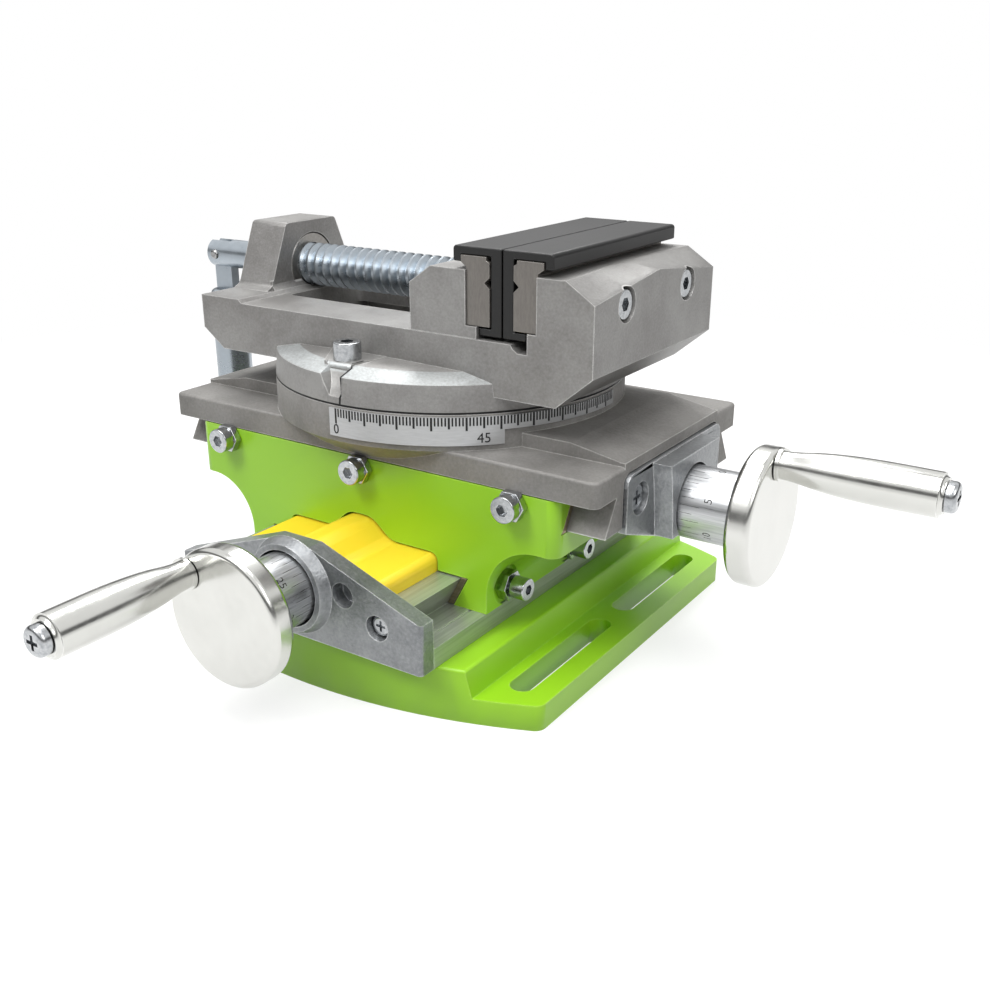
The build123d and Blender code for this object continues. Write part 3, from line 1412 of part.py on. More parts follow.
# Vise screw: grooved tip in the jaw, thread to the nut block, and a plain end for the lever
screw_plane = Plane((at_table(jaw_back_x), 0, vise_axis_z), x_dir=(0, 1, 0), z_dir=(1, 0, 0))
thread_length = jaw_back_x - seat_gap - thread_end_x
with BuildPart() as vise_screw:
    with BuildSketch(screw_plane.offset(-seat_gap)):
        Circle(vise_screw_r)
    extrude(amount=-thread_length)
    with BuildSketch(screw_plane.offset(-seat_gap)):
        Circle(tip_r)
    extrude(amount=tip_length)
    with BuildSketch(screw_plane.offset(tip_pin_from_face - tip_pin_r - seat_gap)):
        Circle(tip_r + overcut)
        Circle(tip_groove_r, mode=Mode.SUBTRACT)
    extrude(amount=2 * tip_pin_r + 2 * seat_gap, mode=Mode.SUBTRACT)
    with BuildSketch(screw_plane.offset(thread_end_x - jaw_back_x)):
        Circle(shank_r)
    extrude(amount=shank_end_x - thread_end_x)
    chamfer(vise_screw.edges().filter_by(GeomType.CIRCLE).group_by(Axis.X)[0], shaft_chamfer)
    fork_x = lever_x + lever_tongue_width / 2 + 2 * free_gap
    with BuildSketch(Plane.XZ):
        with Locations((at_table((fork_x + shank_end_x) / 2), vise_axis_z)):
            Rectangle(fork_x - shank_end_x, 2 * vise_screw_r)
    extrude(amount=lever_tongue_thick / 2 + seat_gap, both=True, mode=Mode.SUBTRACT)
    cut_holes(front(vise_screw_r), [(at_table(lever_pivot_x), vise_axis_z)],
              lever_pin_r + running_gap, 2 * vise_screw_r)

# Lever: a flat tongue in the fork of the screw's end, and a round grip that hangs down from it
with BuildPart() as lever:
    tongue_top_z = vise_axis_z + lever_tongue_rise
    tongue_end_z = vise_axis_z - lever_neck_drop - lever_tongue_sink
    with BuildSketch(Plane.XY.offset(vise_axis_z - lever_length)):
        with Locations((at_table(lever_x), 0)):
            Circle(lever_grip_r)
    extrude(amount=lever_length - lever_neck_drop)
    fillet(lever.edges().filter_by(GeomType.CIRCLE), lever_round)
    with BuildSketch(Plane.XZ):
        with Locations((at_table(lever_x), (tongue_top_z + tongue_end_z) / 2)):
            Rectangle(lever_tongue_width, tongue_top_z - tongue_end_z)
    extrude(amount=lever_tongue_thick / 2, both=True)
    cut_holes(front(lever_grip_r), [(at_table(lever_pivot_x), vise_axis_z)],
              lever_pin_r + running_gap, 2 * lever_grip_r)

with BuildPart() as lever_pin:
    pin_half = shank_r + lever_pin_stand
    with BuildSketch(front(pin_half)):
        with Locations((at_table(lever_pivot_x), vise_axis_z)):
            Circle(lever_pin_r)
    extrude(amount=-2 * pin_half)
    fillet(lever_pin.edges().filter_by(GeomType.CIRCLE), lever_pin_stand)

pieces = {
    "base": base,
    "rail_screws": rail_screws,
    "lower_rail": lower_rail,
    "screw_cover": screw_cover,
    "cover_screws": cover_screws,
    "lower_bracket": lower_bracket,
    "lower_bracket_screws": lower_bracket_screws,
    "lower_lead_screw": lower_lead_screw,
    "lower_thrust_collar": lower_thrust_collar,
    "lower_dial": lower_dial,
    "lower_grub_screw": lower_grub_screw,
    "lower_handwheel": lower_handwheel,
    "lower_grip_screw": lower_grip_screw,
    "lower_crank_grip": lower_crank_grip,
    "saddle": saddle,
    "lower_gib": lower_gib,
    "upper_gib": upper_gib,
    "front_gib_screws": front_gib_screws,
    "front_gib_nuts": front_gib_nuts,
    "side_gib_screws": side_gib_screws,
    "side_gib_nuts": side_gib_nuts,
    "cross_nut": cross_nut,
    "cross_nut_screws": cross_nut_screws,
    "table": table,
    "pivot_pin": pivot_pin,
    "scale_plate": scale_plate,
    "upper_bracket": upper_bracket,
    "upper_bracket_screws": upper_bracket_screws,
    "upper_lead_screw": upper_lead_screw,
    "upper_thrust_collar": upper_thrust_collar,
    "upper_dial": upper_dial,
    "upper_grub_screw": upper_grub_screw,
    "upper_handwheel": upper_handwheel,
    "upper_grip_screw": upper_grip_screw,
    "upper_crank_grip": upper_crank_grip,
    "vise_body": vise_body,
    "clamp_screws": clamp_screws,
    "clamp_nuts": clamp_nuts,
    "thread_bush": thread_bush,
    "fixed_plate": fixed_plate,
    "fixed_pad": fixed_pad,
    "fixed_plate_screws": fixed_plate_screws,
    "movable_jaw": movable_jaw,
    "movable_plate": movable_plate,
    "movable_pad": movable_pad,
    "movable_plate_screws": movable_plate_screws,
    "jaw_keeper": jaw_keeper,
    "keeper_screw": keeper_screw,
    "jaw_pin": jaw_pin,
    "vise_screw": vise_screw,
    "lever": lever,
    "lever_pin": lever_pin,
}

os.makedirs("parts", exist_ok=True)
for name, piece in pieces.items():
    piece.part.label = name
    export_step(piece.part, f"parts/{name}.step")
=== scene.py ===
import json
import math
import bpy
from mathutils import Matrix, Vector

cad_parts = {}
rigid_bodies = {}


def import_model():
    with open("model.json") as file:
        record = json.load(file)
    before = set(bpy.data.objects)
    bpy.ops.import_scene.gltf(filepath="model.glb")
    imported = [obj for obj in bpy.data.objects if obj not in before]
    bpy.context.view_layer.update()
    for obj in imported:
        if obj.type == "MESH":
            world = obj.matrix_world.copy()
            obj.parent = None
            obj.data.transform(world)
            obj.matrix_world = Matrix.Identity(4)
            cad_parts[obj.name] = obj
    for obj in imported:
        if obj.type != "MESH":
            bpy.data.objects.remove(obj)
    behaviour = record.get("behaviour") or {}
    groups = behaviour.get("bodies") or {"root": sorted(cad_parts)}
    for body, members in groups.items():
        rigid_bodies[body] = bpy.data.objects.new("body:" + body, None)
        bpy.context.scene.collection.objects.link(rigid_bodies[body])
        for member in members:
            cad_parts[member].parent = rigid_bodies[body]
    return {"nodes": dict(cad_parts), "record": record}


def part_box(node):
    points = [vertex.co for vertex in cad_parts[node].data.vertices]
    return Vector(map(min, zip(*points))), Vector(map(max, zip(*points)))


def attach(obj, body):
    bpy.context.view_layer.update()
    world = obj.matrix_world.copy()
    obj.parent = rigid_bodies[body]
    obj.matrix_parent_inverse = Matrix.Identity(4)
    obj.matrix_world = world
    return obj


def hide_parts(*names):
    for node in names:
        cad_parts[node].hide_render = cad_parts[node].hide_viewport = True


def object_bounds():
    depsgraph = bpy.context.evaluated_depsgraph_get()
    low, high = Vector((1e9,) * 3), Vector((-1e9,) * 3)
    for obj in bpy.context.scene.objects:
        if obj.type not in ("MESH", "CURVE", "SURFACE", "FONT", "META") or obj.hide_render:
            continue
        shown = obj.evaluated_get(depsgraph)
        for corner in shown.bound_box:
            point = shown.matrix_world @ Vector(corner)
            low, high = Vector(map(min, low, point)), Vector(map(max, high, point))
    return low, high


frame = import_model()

# A cross slide vise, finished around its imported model. The lengths of the pieces and the widths of
# the edges are in millimetres, and those of the finishes, the camera, the lamps and the floor in metres.

for startObject in [o for o in bpy.data.objects if o.name in ("Cube", "Light", "Camera")]:
    bpy.data.objects.remove(startObject)
cadBox = [list(corner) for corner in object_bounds()]
mm = 0.001
swivelX = 1.2 * mm
cleaning = {"weld": 0.002 * mm, "flatAngle": math.radians(0.4)}
print("stage: frame loaded,", len(frame["nodes"]), "nodes")


def deselectAll():
    if bpy.context.object and bpy.context.object.mode != "OBJECT":
        bpy.ops.object.mode_set(mode="OBJECT")
    bpy.ops.object.select_all(action="DESELECT")


def pick(piece):
    deselectAll()
    piece.select_set(True)
    bpy.context.view_layer.objects.active = piece


def srgb(red, green, blue):
    # a colour as it is seen on a screen, 0 to 255, made linear
    def channel(value):
        value = value / 255
        return value / 12.92 if value <= 0.04045 else ((value + 0.055) / 1.055) ** 2.4
    return (channel(red), channel(green), channel(blue), 1.0)


# Shader groups that several finishes share

noiseSpan = (0.3, 0.7)
edgeMask = {"samples": 6, "patch": 420.0, "detail": 3.0, "uneven": (0.45, 1.25), "turned": (0.02, 0.22)}
castSkin = {
    "fineDetail": 4.0, "fineRough": 0.65, "broad": 55.0, "broadDetail": 5.0, "broadRough": 0.6,
    "toneShares": (0.65, 0.35), "heightShares": (0.7, 0.3), "speckWithin": 0.12}
toolLines = {"detail": 3.0, "rough": 0.7, "height": (0.25, 0.75)}
sprayed = {"ripple": 260.0, "rippleDetail": 1.5, "pool": 18.0, "poolDetail": 2.0}


def newGroup(name, inputs, outputs):
    group = bpy.data.node_groups.new(name, "ShaderNodeTree")
    for label, kind, value in inputs:
        socket = group.interface.new_socket(name=label, in_out="INPUT", socket_type=kind)
        if value is not None:
            socket.default_value = value
    for label, kind in outputs:
        group.interface.new_socket(name=label, in_out="OUTPUT", socket_type=kind)
    start = group.nodes.new("NodeGroupInput")
    end = group.nodes.new("NodeGroupOutput")
    return group, start, end


def addNode(tree, kind, **settings):
    node = tree.nodes.new(kind)
    for key, value in settings.items():
        if key in node.inputs:
            node.inputs[key].default_value = value
        else:
            setattr(node, key, value)
    return node


def mathNode(tree, operation, first, second=None, clamp=False):
    node = addNode(tree, "ShaderNodeMath", operation=operation, use_clamp=clamp)
    for index, value in enumerate((first, second)):
        if value is None:
            continue
        if hasattr(value, "links"):
            tree.links.new(value, node.inputs[index])
        else:
            node.inputs[index].default_value = value
    return node.outputs[0]


def rangeNode(tree, value, low, high, outLow=0.0, outHigh=1.0):
    node = addNode(tree, "ShaderNodeMapRange")
    node.inputs["From Min"].default_value = low
    node.inputs["From Max"].default_value = high
    node.inputs["To Min"].default_value = outLow
    node.inputs["To Max"].default_value = outHigh
    tree.links.new(value, node.inputs["Value"])
    return node.outputs["Result"]


def mixColours(tree, factor, first, second):
    node = addNode(tree, "ShaderNodeMix", data_type="RGBA")
    for socket, value in ((node.inputs[0], factor), (node.inputs[6], first), (node.inputs[7], second)):
        if hasattr(value, "links"):
            tree.links.new(value, socket)
        else:
            socket.default_value = value
    return node.outputs[2]


def makeEdgeGroup(look):
    # edges, where the rounded normal turns away from the face's own: rubbed wear and painted highlight
    group, start, end = newGroup(
        "rubbedEdgesAndHighlight",
        [("Radius", "NodeSocketFloat", 0.0005), ("Vector", "NodeSocketVector", None)],
        [("Mask", "NodeSocketFloat")])
    bevel = addNode(group, "ShaderNodeBevel", samples=look["samples"])
    group.links.new(start.outputs["Radius"], bevel.inputs["Radius"])
    geometry = addNode(group, "ShaderNodeNewGeometry")
    dot = addNode(group, "ShaderNodeVectorMath", operation="DOT_PRODUCT")
    group.links.new(bevel.outputs["Normal"], dot.inputs[0])
    group.links.new(geometry.outputs["Normal"], dot.inputs[1])
    away = mathNode(group, "SUBTRACT", 1.0, dot.outputs["Value"])
    noise = addNode(group, "ShaderNodeTexNoise", Scale=look["patch"], Detail=look["detail"])
    group.links.new(start.outputs["Vector"], noise.inputs["Vector"])
    uneven = rangeNode(group, noise.outputs["Fac"], *noiseSpan, *look["uneven"])
    mask = mathNode(group, "MULTIPLY", rangeNode(group, away, *look["turned"]), uneven, clamp=True)
    group.links.new(mask, end.inputs["Mask"])
    return group


def makeGrainGroup(look):
    # cast skin: blotches of tone, a fine sandy height, and specks that the castings paint as glints
    group, start, end = newGroup(
        "castGrain",
        [("Vector", "NodeSocketVector", None), ("Scale", "NodeSocketFloat", 900.0)],
        [("Tone", "NodeSocketFloat"), ("Height", "NodeSocketFloat"), ("Speck", "NodeSocketFloat")])
    fine = addNode(group, "ShaderNodeTexNoise", Detail=look["fineDetail"], Roughness=look["fineRough"])
    group.links.new(start.outputs["Vector"], fine.inputs["Vector"])
    group.links.new(start.outputs["Scale"], fine.inputs["Scale"])
    broad = addNode(group, "ShaderNodeTexNoise", Scale=look["broad"], Detail=look["broadDetail"],
                    Roughness=look["broadRough"])
    group.links.new(start.outputs["Vector"], broad.inputs["Vector"])
    pits = addNode(group, "ShaderNodeTexVoronoi")
    group.links.new(start.outputs["Vector"], pits.inputs["Vector"])
    group.links.new(start.outputs["Scale"], pits.inputs["Scale"])
    broadShare, fineShare = look["toneShares"]
    tone = mathNode(group, "ADD", mathNode(group, "MULTIPLY", broad.outputs["Fac"], broadShare),
                    mathNode(group, "MULTIPLY", fine.outputs["Fac"], fineShare))
    sandShare, pitShare = look["heightShares"]
    height = mathNode(group, "ADD", mathNode(group, "MULTIPLY", fine.outputs["Fac"], sandShare),
                      mathNode(group, "MULTIPLY", pits.outputs["Distance"], pitShare))
    speck = rangeNode(group, pits.outputs["Distance"], look["speckWithin"], 0.0)
    group.links.new(tone, end.inputs["Tone"])
    group.links.new(height, end.inputs["Height"])
    group.links.new(speck, end.inputs["Speck"])
    return group


def makeLineGroup(look):
    # tool marks: noise drawn out along one axis, given by the stretch of the vector
    group, start, end = newGroup(
        "toolMarks",
        [("Vector", "NodeSocketVector", None), ("Scale", "NodeSocketFloat", 1.0)],
        [("Tone", "NodeSocketFloat"), ("Height", "NodeSocketFloat")])
    lines = addNode(group, "ShaderNodeTexNoise", Detail=look["detail"], Roughness=look["rough"])
    group.links.new(start.outputs["Vector"], lines.inputs["Vector"])
    group.links.new(start.outputs["Scale"], lines.inputs["Scale"])
    group.links.new(lines.outputs["Fac"], end.inputs["Tone"])
    group.links.new(rangeNode(group, lines.outputs["Fac"], *look["height"]), end.inputs["Height"])
    return group


def makePaintGroup(look):
    # enamel: a soft pool of tone and the slight ripple of a sprayed coat
    group, start, end = newGroup(
        "sprayedCoat",
        [("Vector", "NodeSocketVector", None)],
        [("Tone", "NodeSocketFloat"), ("Height", "NodeSocketFloat")])
    ripple = addNode(group, "ShaderNodeTexNoise", Scale=look["ripple"], Detail=look["rippleDetail"])
    pool = addNode(group, "ShaderNodeTexNoise", Scale=look["pool"], Detail=look["poolDetail"])
    for texture in (ripple, pool):
        group.links.new(start.outputs["Vector"], texture.inputs["Vector"])
    group.links.new(pool.outputs["Fac"], end.inputs["Tone"])
    group.links.new(ripple.outputs["Fac"], end.inputs["Height"])
    return group


edgeGroup = makeEdgeGroup(edgeMask)
grainGroup = makeGrainGroup(castSkin)
lineGroup = makeLineGroup(toolLines)
paintGroup = makePaintGroup(sprayed)
print("stage: shader groups ready")


# Finishes, one function and one dictionary for each family

roughSpread = {"cast": 0.06, "castEdge": 0.12, "machined": 0.05, "paint": 0.04}
castToneSpan = (0.38, 0.62)


def startMaterial(name):
    material = bpy.data.materials.new(name)
    material.use_nodes = True
    tree = material.node_tree
    tree.nodes.clear()
    shader = addNode(tree, "ShaderNodeBsdfPrincipled")
    output = addNode(tree, "ShaderNodeOutputMaterial")
    tree.links.new(shader.outputs["BSDF"], output.inputs["Surface"])
    place = addNode(tree, "ShaderNodeTexCoord").outputs["Object"]
    return material, tree, shader, place


def useGroup(tree, group, place, **values):
    node = addNode(tree, "ShaderNodeGroup")
    node.node_tree = group
    for key, value in values.items():
        node.inputs[key].default_value = value
    if "Vector" in node.inputs:
        tree.links.new(place, node.inputs["Vector"])
    return node


def addBump(tree, shader, height, distance):
    bump = addNode(tree, "ShaderNodeBump", Strength=1.0, Distance=distance)
    tree.links.new(height, bump.inputs["Height"])
    tree.links.new(bump.outputs["Normal"], shader.inputs["Normal"])


def castFinish(name, look):
    # bare casting, blasted or ground, edges lit by wear and painted highlight; painted highlight on an
    # upward ring, painted shadow in a gap
    material, tree, shader, place = startMaterial(name)
    grain = useGroup(tree, grainGroup, place, Scale=look["grainScale"])
    edge = useGroup(tree, edgeGroup, place, Radius=look["edgeRadius"])
    tone = rangeNode(tree, grain.outputs["Tone"], *castToneSpan)
    body = mixColours(tree, tone, look["dark"], look["light"])
    # painted glints: bright specks of the grain lightened towards the glint colour
    specked = mixColours(tree, mathNode(tree, "MULTIPLY", grain.outputs["Speck"], look["speck"]),
                         body, look["glint"])
    # edges lightened towards the glint colour: partly rubbed wear, partly painted highlight
    worn = mixColours(tree, mathNode(tree, "MULTIPLY", edge.outputs["Mask"], look["wearAndHighlight"]),
                      specked, look["glint"])
    # painted highlight: a ring on the swivel disc's chamfer is lightened where it faces up, as if lit
    # from above
    if "ring" in look:
        ring = mathNode(tree, "MULTIPLY", ringMask(tree, place, look["ring"]), look["ring"]["amount"])
        sparkle = rangeNode(tree, grain.outputs["Height"], *look["ring"]["sparkle"])
        ring = mathNode(tree, "MULTIPLY", ring, sparkle)
        facing = addNode(tree, "ShaderNodeSeparateXYZ")
        tree.links.new(addNode(tree, "ShaderNodeNewGeometry").outputs["Normal"], facing.inputs[0])
        upward = rangeNode(tree, facing.outputs["Z"], *look["ring"]["facing"])
        ring = mathNode(tree, "MULTIPLY", ring, upward)
        worn = mixColours(tree, ring, worn, look["ring"]["colour"])
    # painted shadow: a dark line where the swivel disc sits on the table, standing in for the shade in
    # the gap
    if "gapShadow" in look:
        worn = mixColours(tree, ringMask(tree, place, look["gapShadow"]), worn, look["gapShadow"]["colour"])
    tree.links.new(worn, shader.inputs["Base Color"])
    shader.inputs["Metallic"].default_value = look["metallic"]
    rough = rangeNode(tree, grain.outputs["Tone"], *noiseSpan,
                      look["rough"] - roughSpread["cast"], look["rough"] + roughSpread["cast"])
    smoother = mathNode(tree, "MULTIPLY", edge.outputs["Mask"], roughSpread["castEdge"])
    rough = mathNode(tree, "SUBTRACT", rough, smoother)
    tree.links.new(rough, shader.inputs["Roughness"])
    addBump(tree, shader, grain.outputs["Height"], look["grainDepth"])
    return material


def machinedFinish(name, look):
    # cut metal with marks along one direction
    material, tree, shader, place = startMaterial(name)
    mapping = addNode(tree, "ShaderNodeMapping")
    mapping.inputs["Scale"].default_value = look["stretch"]
    tree.links.new(place, mapping.inputs["Vector"])
    lines = useGroup(tree, lineGroup, mapping.outputs["Vector"], Scale=look["lineScale"])
    edge = useGroup(tree, edgeGroup, place, Radius=look["edgeRadius"])
    tone = rangeNode(tree, lines.outputs["Tone"], *noiseSpan)
    body = mixColours(tree, tone, look["dark"], look["light"])
    # edges lightened towards the glint colour: partly rubbed wear, partly painted highlight
    worn = mixColours(tree, mathNode(tree, "MULTIPLY", edge.outputs["Mask"], look["wearAndHighlight"]),
                      body, look["glint"])
    tree.links.new(worn, shader.inputs["Base Color"])
    shader.inputs["Metallic"].default_value = look["metallic"]
    rough = rangeNode(tree, lines.outputs["Tone"], *noiseSpan,
                      look["rough"] - roughSpread["machined"], look["rough"] + roughSpread["machined"])
    tree.links.new(rough, shader.inputs["Roughness"])
    addBump(tree, shader, lines.outputs["Height"], look["lineDepth"])
    return material


def paintFinish(name, look):
    # enamel with a clear gloss, thinner along the edges and lighter there, partly as wear and partly as
    # painted highlight
    material, tree, shader, place = startMaterial(name)
    coat = useGroup(tree, paintGroup, place)
    edge = useGroup(tree, edgeGroup, place, Radius=look["edgeRadius"])
    tone = rangeNode(tree, coat.outputs["Tone"], *noiseSpan)
    body = mixColours(tree, tone, look["dark"], look["light"])
    # edges lightened towards the edge colour: partly worn coat, partly painted highlight
    edged = mixColours(tree, mathNode(tree, "MULTIPLY", edge.outputs["Mask"], look["wearAndHighlight"]),
                       body, look["edge"])
    tree.links.new(edged, shader.inputs["Base Color"])
    rough = rangeNode(tree, coat.outputs["Tone"], *noiseSpan,
                      look["rough"] - roughSpread["paint"], look["rough"] + roughSpread["paint"])
    tree.links.new(rough, shader.inputs["Roughness"])
    shader.inputs["Coat Weight"].default_value = look["coat"]
    shader.inputs["Coat Roughness"].default_value = look["coatRough"]
    addBump(tree, shader, coat.outputs["Height"], look["ripple"])
    return material


def ringMask(tree, place, look):
    # 1 in a ring round the swivel axis, between two radii and two levels
    split = addNode(tree, "ShaderNodeSeparateXYZ")
    tree.links.new(place, split.inputs[0])
    across = mathNode(tree, "SUBTRACT", split.outputs["X"], swivelX)
    radius = mathNode(tree, "SQRT", mathNode(
        tree, "ADD", mathNode(tree, "MULTIPLY", across, across),
        mathNode(tree, "MULTIPLY", split.outputs["Y"], split.outputs["Y"])))
    inside = mathNode(tree, "MULTIPLY",
                      rangeNode(tree, radius, look["inner"], look["inner"] + look["soft"]),
                      rangeNode(tree, radius, look["outer"] + look["soft"], look["outer"]))
    above = rangeNode(tree, split.outputs["Z"], look["low"] - look["soft"], look["low"])
    below = rangeNode(tree, split.outputs["Z"], look["high"] + look["soft"], look["high"])
    return mathNode(tree, "MULTIPLY", inside, mathNode(tree, "MULTIPLY", above, below))


# glint and edge colours paint highlights on the edges, mixed with rubbed wear there
castLooks = {
    "vise_casting": {
        # painted highlight on the chamfer ring of the swivel disc
        "ring": {"inner": 0.0409, "outer": 0.0484, "low": 0.0754, "high": 0.0772, "soft": 0.0002,
                 "sparkle": (0.25, 0.7, 0.35, 1.0), "facing": (0.1, 0.3), "amount": 0.48,
                 "colour": srgb(214, 222, 224)},
        # painted shadow line in the gap between the swivel disc and the table
        "gapShadow": {"inner": 0.046, "outer": 0.06, "low": 0.0682, "high": 0.0688, "soft": 0.00006,
                 "colour": srgb(22, 22, 22)},
        "dark": srgb(127, 125, 123), "light": srgb(155, 154, 152), "glint": srgb(232, 231, 229),
        "metallic": 0.5, "rough": 0.44, "grainScale": 1500.0, "grainDepth": 0.00008,
        "edgeRadius": 0.0005, "wearAndHighlight": 0.85, "speck": 0.3},
    "table_casting": {
        "dark": srgb(118, 116, 113), "light": srgb(146, 144, 141), "glint": srgb(230, 228, 225),
        "metallic": 0.3, "rough": 0.6, "grainScale": 1300.0, "grainDepth": 0.00008,
        "edgeRadius": 0.0005, "wearAndHighlight": 0.8, "speck": 0.25},
    "bracket_casting": {
        "dark": srgb(118, 121, 123), "light": srgb(158, 160, 162), "glint": srgb(238, 239, 240),
        "metallic": 0.7, "rough": 0.36, "grainScale": 1150.0, "grainDepth": 0.00014,
        "edgeRadius": 0.0006, "wearAndHighlight": 0.95, "speck": 0.35},
}
machinedLooks = {
    "rail_aluminium": {
        "dark": srgb(158, 162, 154), "light": srgb(186, 190, 182), "glint": srgb(240, 241, 238),
        "metallic": 0.6, "rough": 0.34, "stretch": (1.0, 0.02, 1.0), "lineScale": 1500.0,
        "lineDepth": 0.000006, "edgeRadius": 0.0003, "wearAndHighlight": 0.8},
    "jaw_steel": {
        "dark": srgb(116, 112, 108), "light": srgb(130, 126, 121), "glint": srgb(236, 233, 228),
        "metallic": 0.7, "rough": 0.36, "stretch": (1.0, 0.05, 0.25), "lineScale": 2200.0,
        "lineDepth": 0.000006, "edgeRadius": 0.00025, "wearAndHighlight": 1.0},
    "scale_metal": {
        "dark": srgb(176, 177, 178), "light": srgb(190, 191, 192), "glint": srgb(240, 240, 240),
        "metallic": 0.6, "rough": 0.36, "stretch": (0.1, 0.1, 1.0), "lineScale": 3000.0,
        "lineDepth": 0.000001, "edgeRadius": 0.00015, "wearAndHighlight": 0.5},
    "bush_steel": {
        "dark": srgb(138, 135, 131), "light": srgb(162, 159, 155), "glint": srgb(228, 227, 225),
        "metallic": 0.9, "rough": 0.32, "stretch": (1.0, 1.0, 1.0), "lineScale": 900.0,
        "lineDepth": 0.000004, "edgeRadius": 0.0003, "wearAndHighlight": 0.8},
    "turned_steel": {
        "dark": srgb(142, 142, 142), "light": srgb(176, 176, 176), "glint": srgb(232, 232, 232),
        "metallic": 1.0, "rough": 0.26, "stretch": (1.0, 1.0, 1.0), "lineScale": 900.0,
        "lineDepth": 0.000004, "edgeRadius": 0.0002, "wearAndHighlight": 0.6},
    "dial_metal": {
        "dark": srgb(172, 174, 176), "light": srgb(212, 213, 215), "glint": srgb(246, 246, 246),
        "metallic": 0.9, "rough": 0.31, "stretch": (1.0, 0.04, 1.0), "lineScale": 1400.0,
        "lineDepth": 0.000004, "edgeRadius": 0.0002, "wearAndHighlight": 0.9},
    "polished_metal": {
        "dark": srgb(206, 206, 202), "light": srgb(214, 214, 210), "glint": srgb(250, 250, 249),
        "metallic": 1.0, "rough": 0.19, "stretch": (1.0, 1.0, 1.0), "lineScale": 90.0,
        "lineDepth": 0.000002, "edgeRadius": 0.0003, "wearAndHighlight": 0.6},
    "zinc_screw": {
        "dark": srgb(158, 166, 173), "light": srgb(170, 178, 185), "glint": srgb(238, 243, 248),
        "metallic": 0.9, "rough": 0.3, "stretch": (1.0, 1.0, 1.0), "lineScale": 160.0,
        "lineDepth": 0.0000002, "edgeRadius": 0.0002, "wearAndHighlight": 0.3},
    "fastener_steel": {
        "dark": srgb(160, 163, 166), "light": srgb(196, 198, 200), "glint": srgb(246, 246, 248),
        "metallic": 1.0, "rough": 0.22, "stretch": (1.0, 1.0, 1.0), "lineScale": 900.0,
        "lineDepth": 0.000003, "edgeRadius": 0.0002, "wearAndHighlight": 0.8},
    "gib_brass": {
        "dark": srgb(138, 128, 104), "light": srgb(166, 154, 126), "glint": srgb(220, 206, 170),
        "metallic": 0.8, "rough": 0.42, "stretch": (0.05, 1.0, 1.0), "lineScale": 1800.0,
        "lineDepth": 0.000006, "edgeRadius": 0.0002, "wearAndHighlight": 0.7},
    "nut_bronze": {
        "dark": srgb(150, 116, 70), "light": srgb(184, 146, 92), "glint": srgb(232, 200, 150),
        "metallic": 0.9, "rough": 0.34, "stretch": (1.0, 1.0, 1.0), "lineScale": 700.0,
        "lineDepth": 0.000006, "edgeRadius": 0.0003, "wearAndHighlight": 0.7},
}
paintLooks = {
    "green_paint": {
        "dark": srgb(142, 200, 24), "light": srgb(154, 210, 34), "edge": srgb(196, 236, 108),
        "rough": 0.42, "coat": 0.35, "coatRough": 0.22, "edgeRadius": 0.0008, "wearAndHighlight": 0.6,
        "ripple": 0.00003},
    "yellow_paint": {
        "dark": srgb(244, 206, 40), "light": srgb(250, 216, 52), "edge": srgb(255, 240, 140),
        "rough": 0.4, "coat": 0.2, "coatRough": 0.3, "edgeRadius": 0.0008, "wearAndHighlight": 0.3,
        "ripple": 0.00002},
    # the pad's edge colour paints a highlight along the edges of the black rubber
    "black_pad": {
        "dark": srgb(9, 9, 9), "light": srgb(16, 16, 16), "edge": srgb(84, 84, 84),
        "rough": 0.46, "coat": 0.0, "coatRough": 0.3, "edgeRadius": 0.0004, "wearAndHighlight": 0.7,
        "ripple": 0.00002},
}

finishes = {}
for slotName, look in castLooks.items():
    finishes[slotName] = castFinish(slotName, look)
for slotName, look in machinedLooks.items():
    finishes[slotName] = machinedFinish(slotName, look)
acrossLook = dict(machinedLooks["dial_metal"], stretch=(0.04, 1.0, 1.0))
finishes["dial_metal_x"] = machinedFinish("dial_metal_x", acrossLook)
for slotName, look in paintLooks.items():
    finishes[slotName] = paintFinish(slotName, look)

for nodeName, node in frame["nodes"].items():
    for slot in node.material_slots:
        slot.material = finishes[slot.material.name.split(".")[0]]
print("stage: finishes on the nodes")


# Rounded edges on the nodes that show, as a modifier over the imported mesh

edgeWidths = {
    "base": 0.6, "saddle": 0.5, "table": 0.35, "vise_body": 0.3, "movable_jaw": 0.3,
    "lower_bracket": 0.45, "upper_bracket": 0.45, "screw_cover": 0.25, "lower_rail": 0.2,
    "movable_plate": 0.15, "fixed_plate": 0.15, "movable_pad": 0.4, "fixed_pad": 0.4,
    "front_gib_nuts": 0.25, "side_gib_nuts": 0.25, "lower_gib": 0.15, "upper_gib": 0.15,
    "lever": 0.2}
edgeLook = {"flatAngle": math.radians(0.6), "sharpAngle": math.radians(28), "segments": 2}


def roundEdges(nodeName, width, look):
    node = frame["nodes"][nodeName]
    weld = node.modifiers.new("weld", "WELD")
    weld.merge_threshold = cleaning["weld"]
    dissolve = node.modifiers.new("flats", "DECIMATE")
    dissolve.decimate_type = "DISSOLVE"
    dissolve.angle_limit = look["flatAngle"]
    bevel = node.modifiers.new("edges", "BEVEL")
    bevel.width = width
    bevel.segments = look["segments"]
    bevel.limit_method = "ANGLE"
    bevel.angle_limit = look["sharpAngle"]
    bevel.use_clamp_overlap = True
    bevel.harden_normals = True


for nodeName, width in edgeWidths.items():
    roundEdges(nodeName, width * mm, edgeLook)
print("stage: edges rounded")


# Threads, dials and scale: pieces that take the place of plain nodes or lie on them

def applyAll(piece):
    pick(piece)
    for modifier in list(piece.modifiers):
        bpy.ops.object.modifier_apply(modifier=modifier.name)


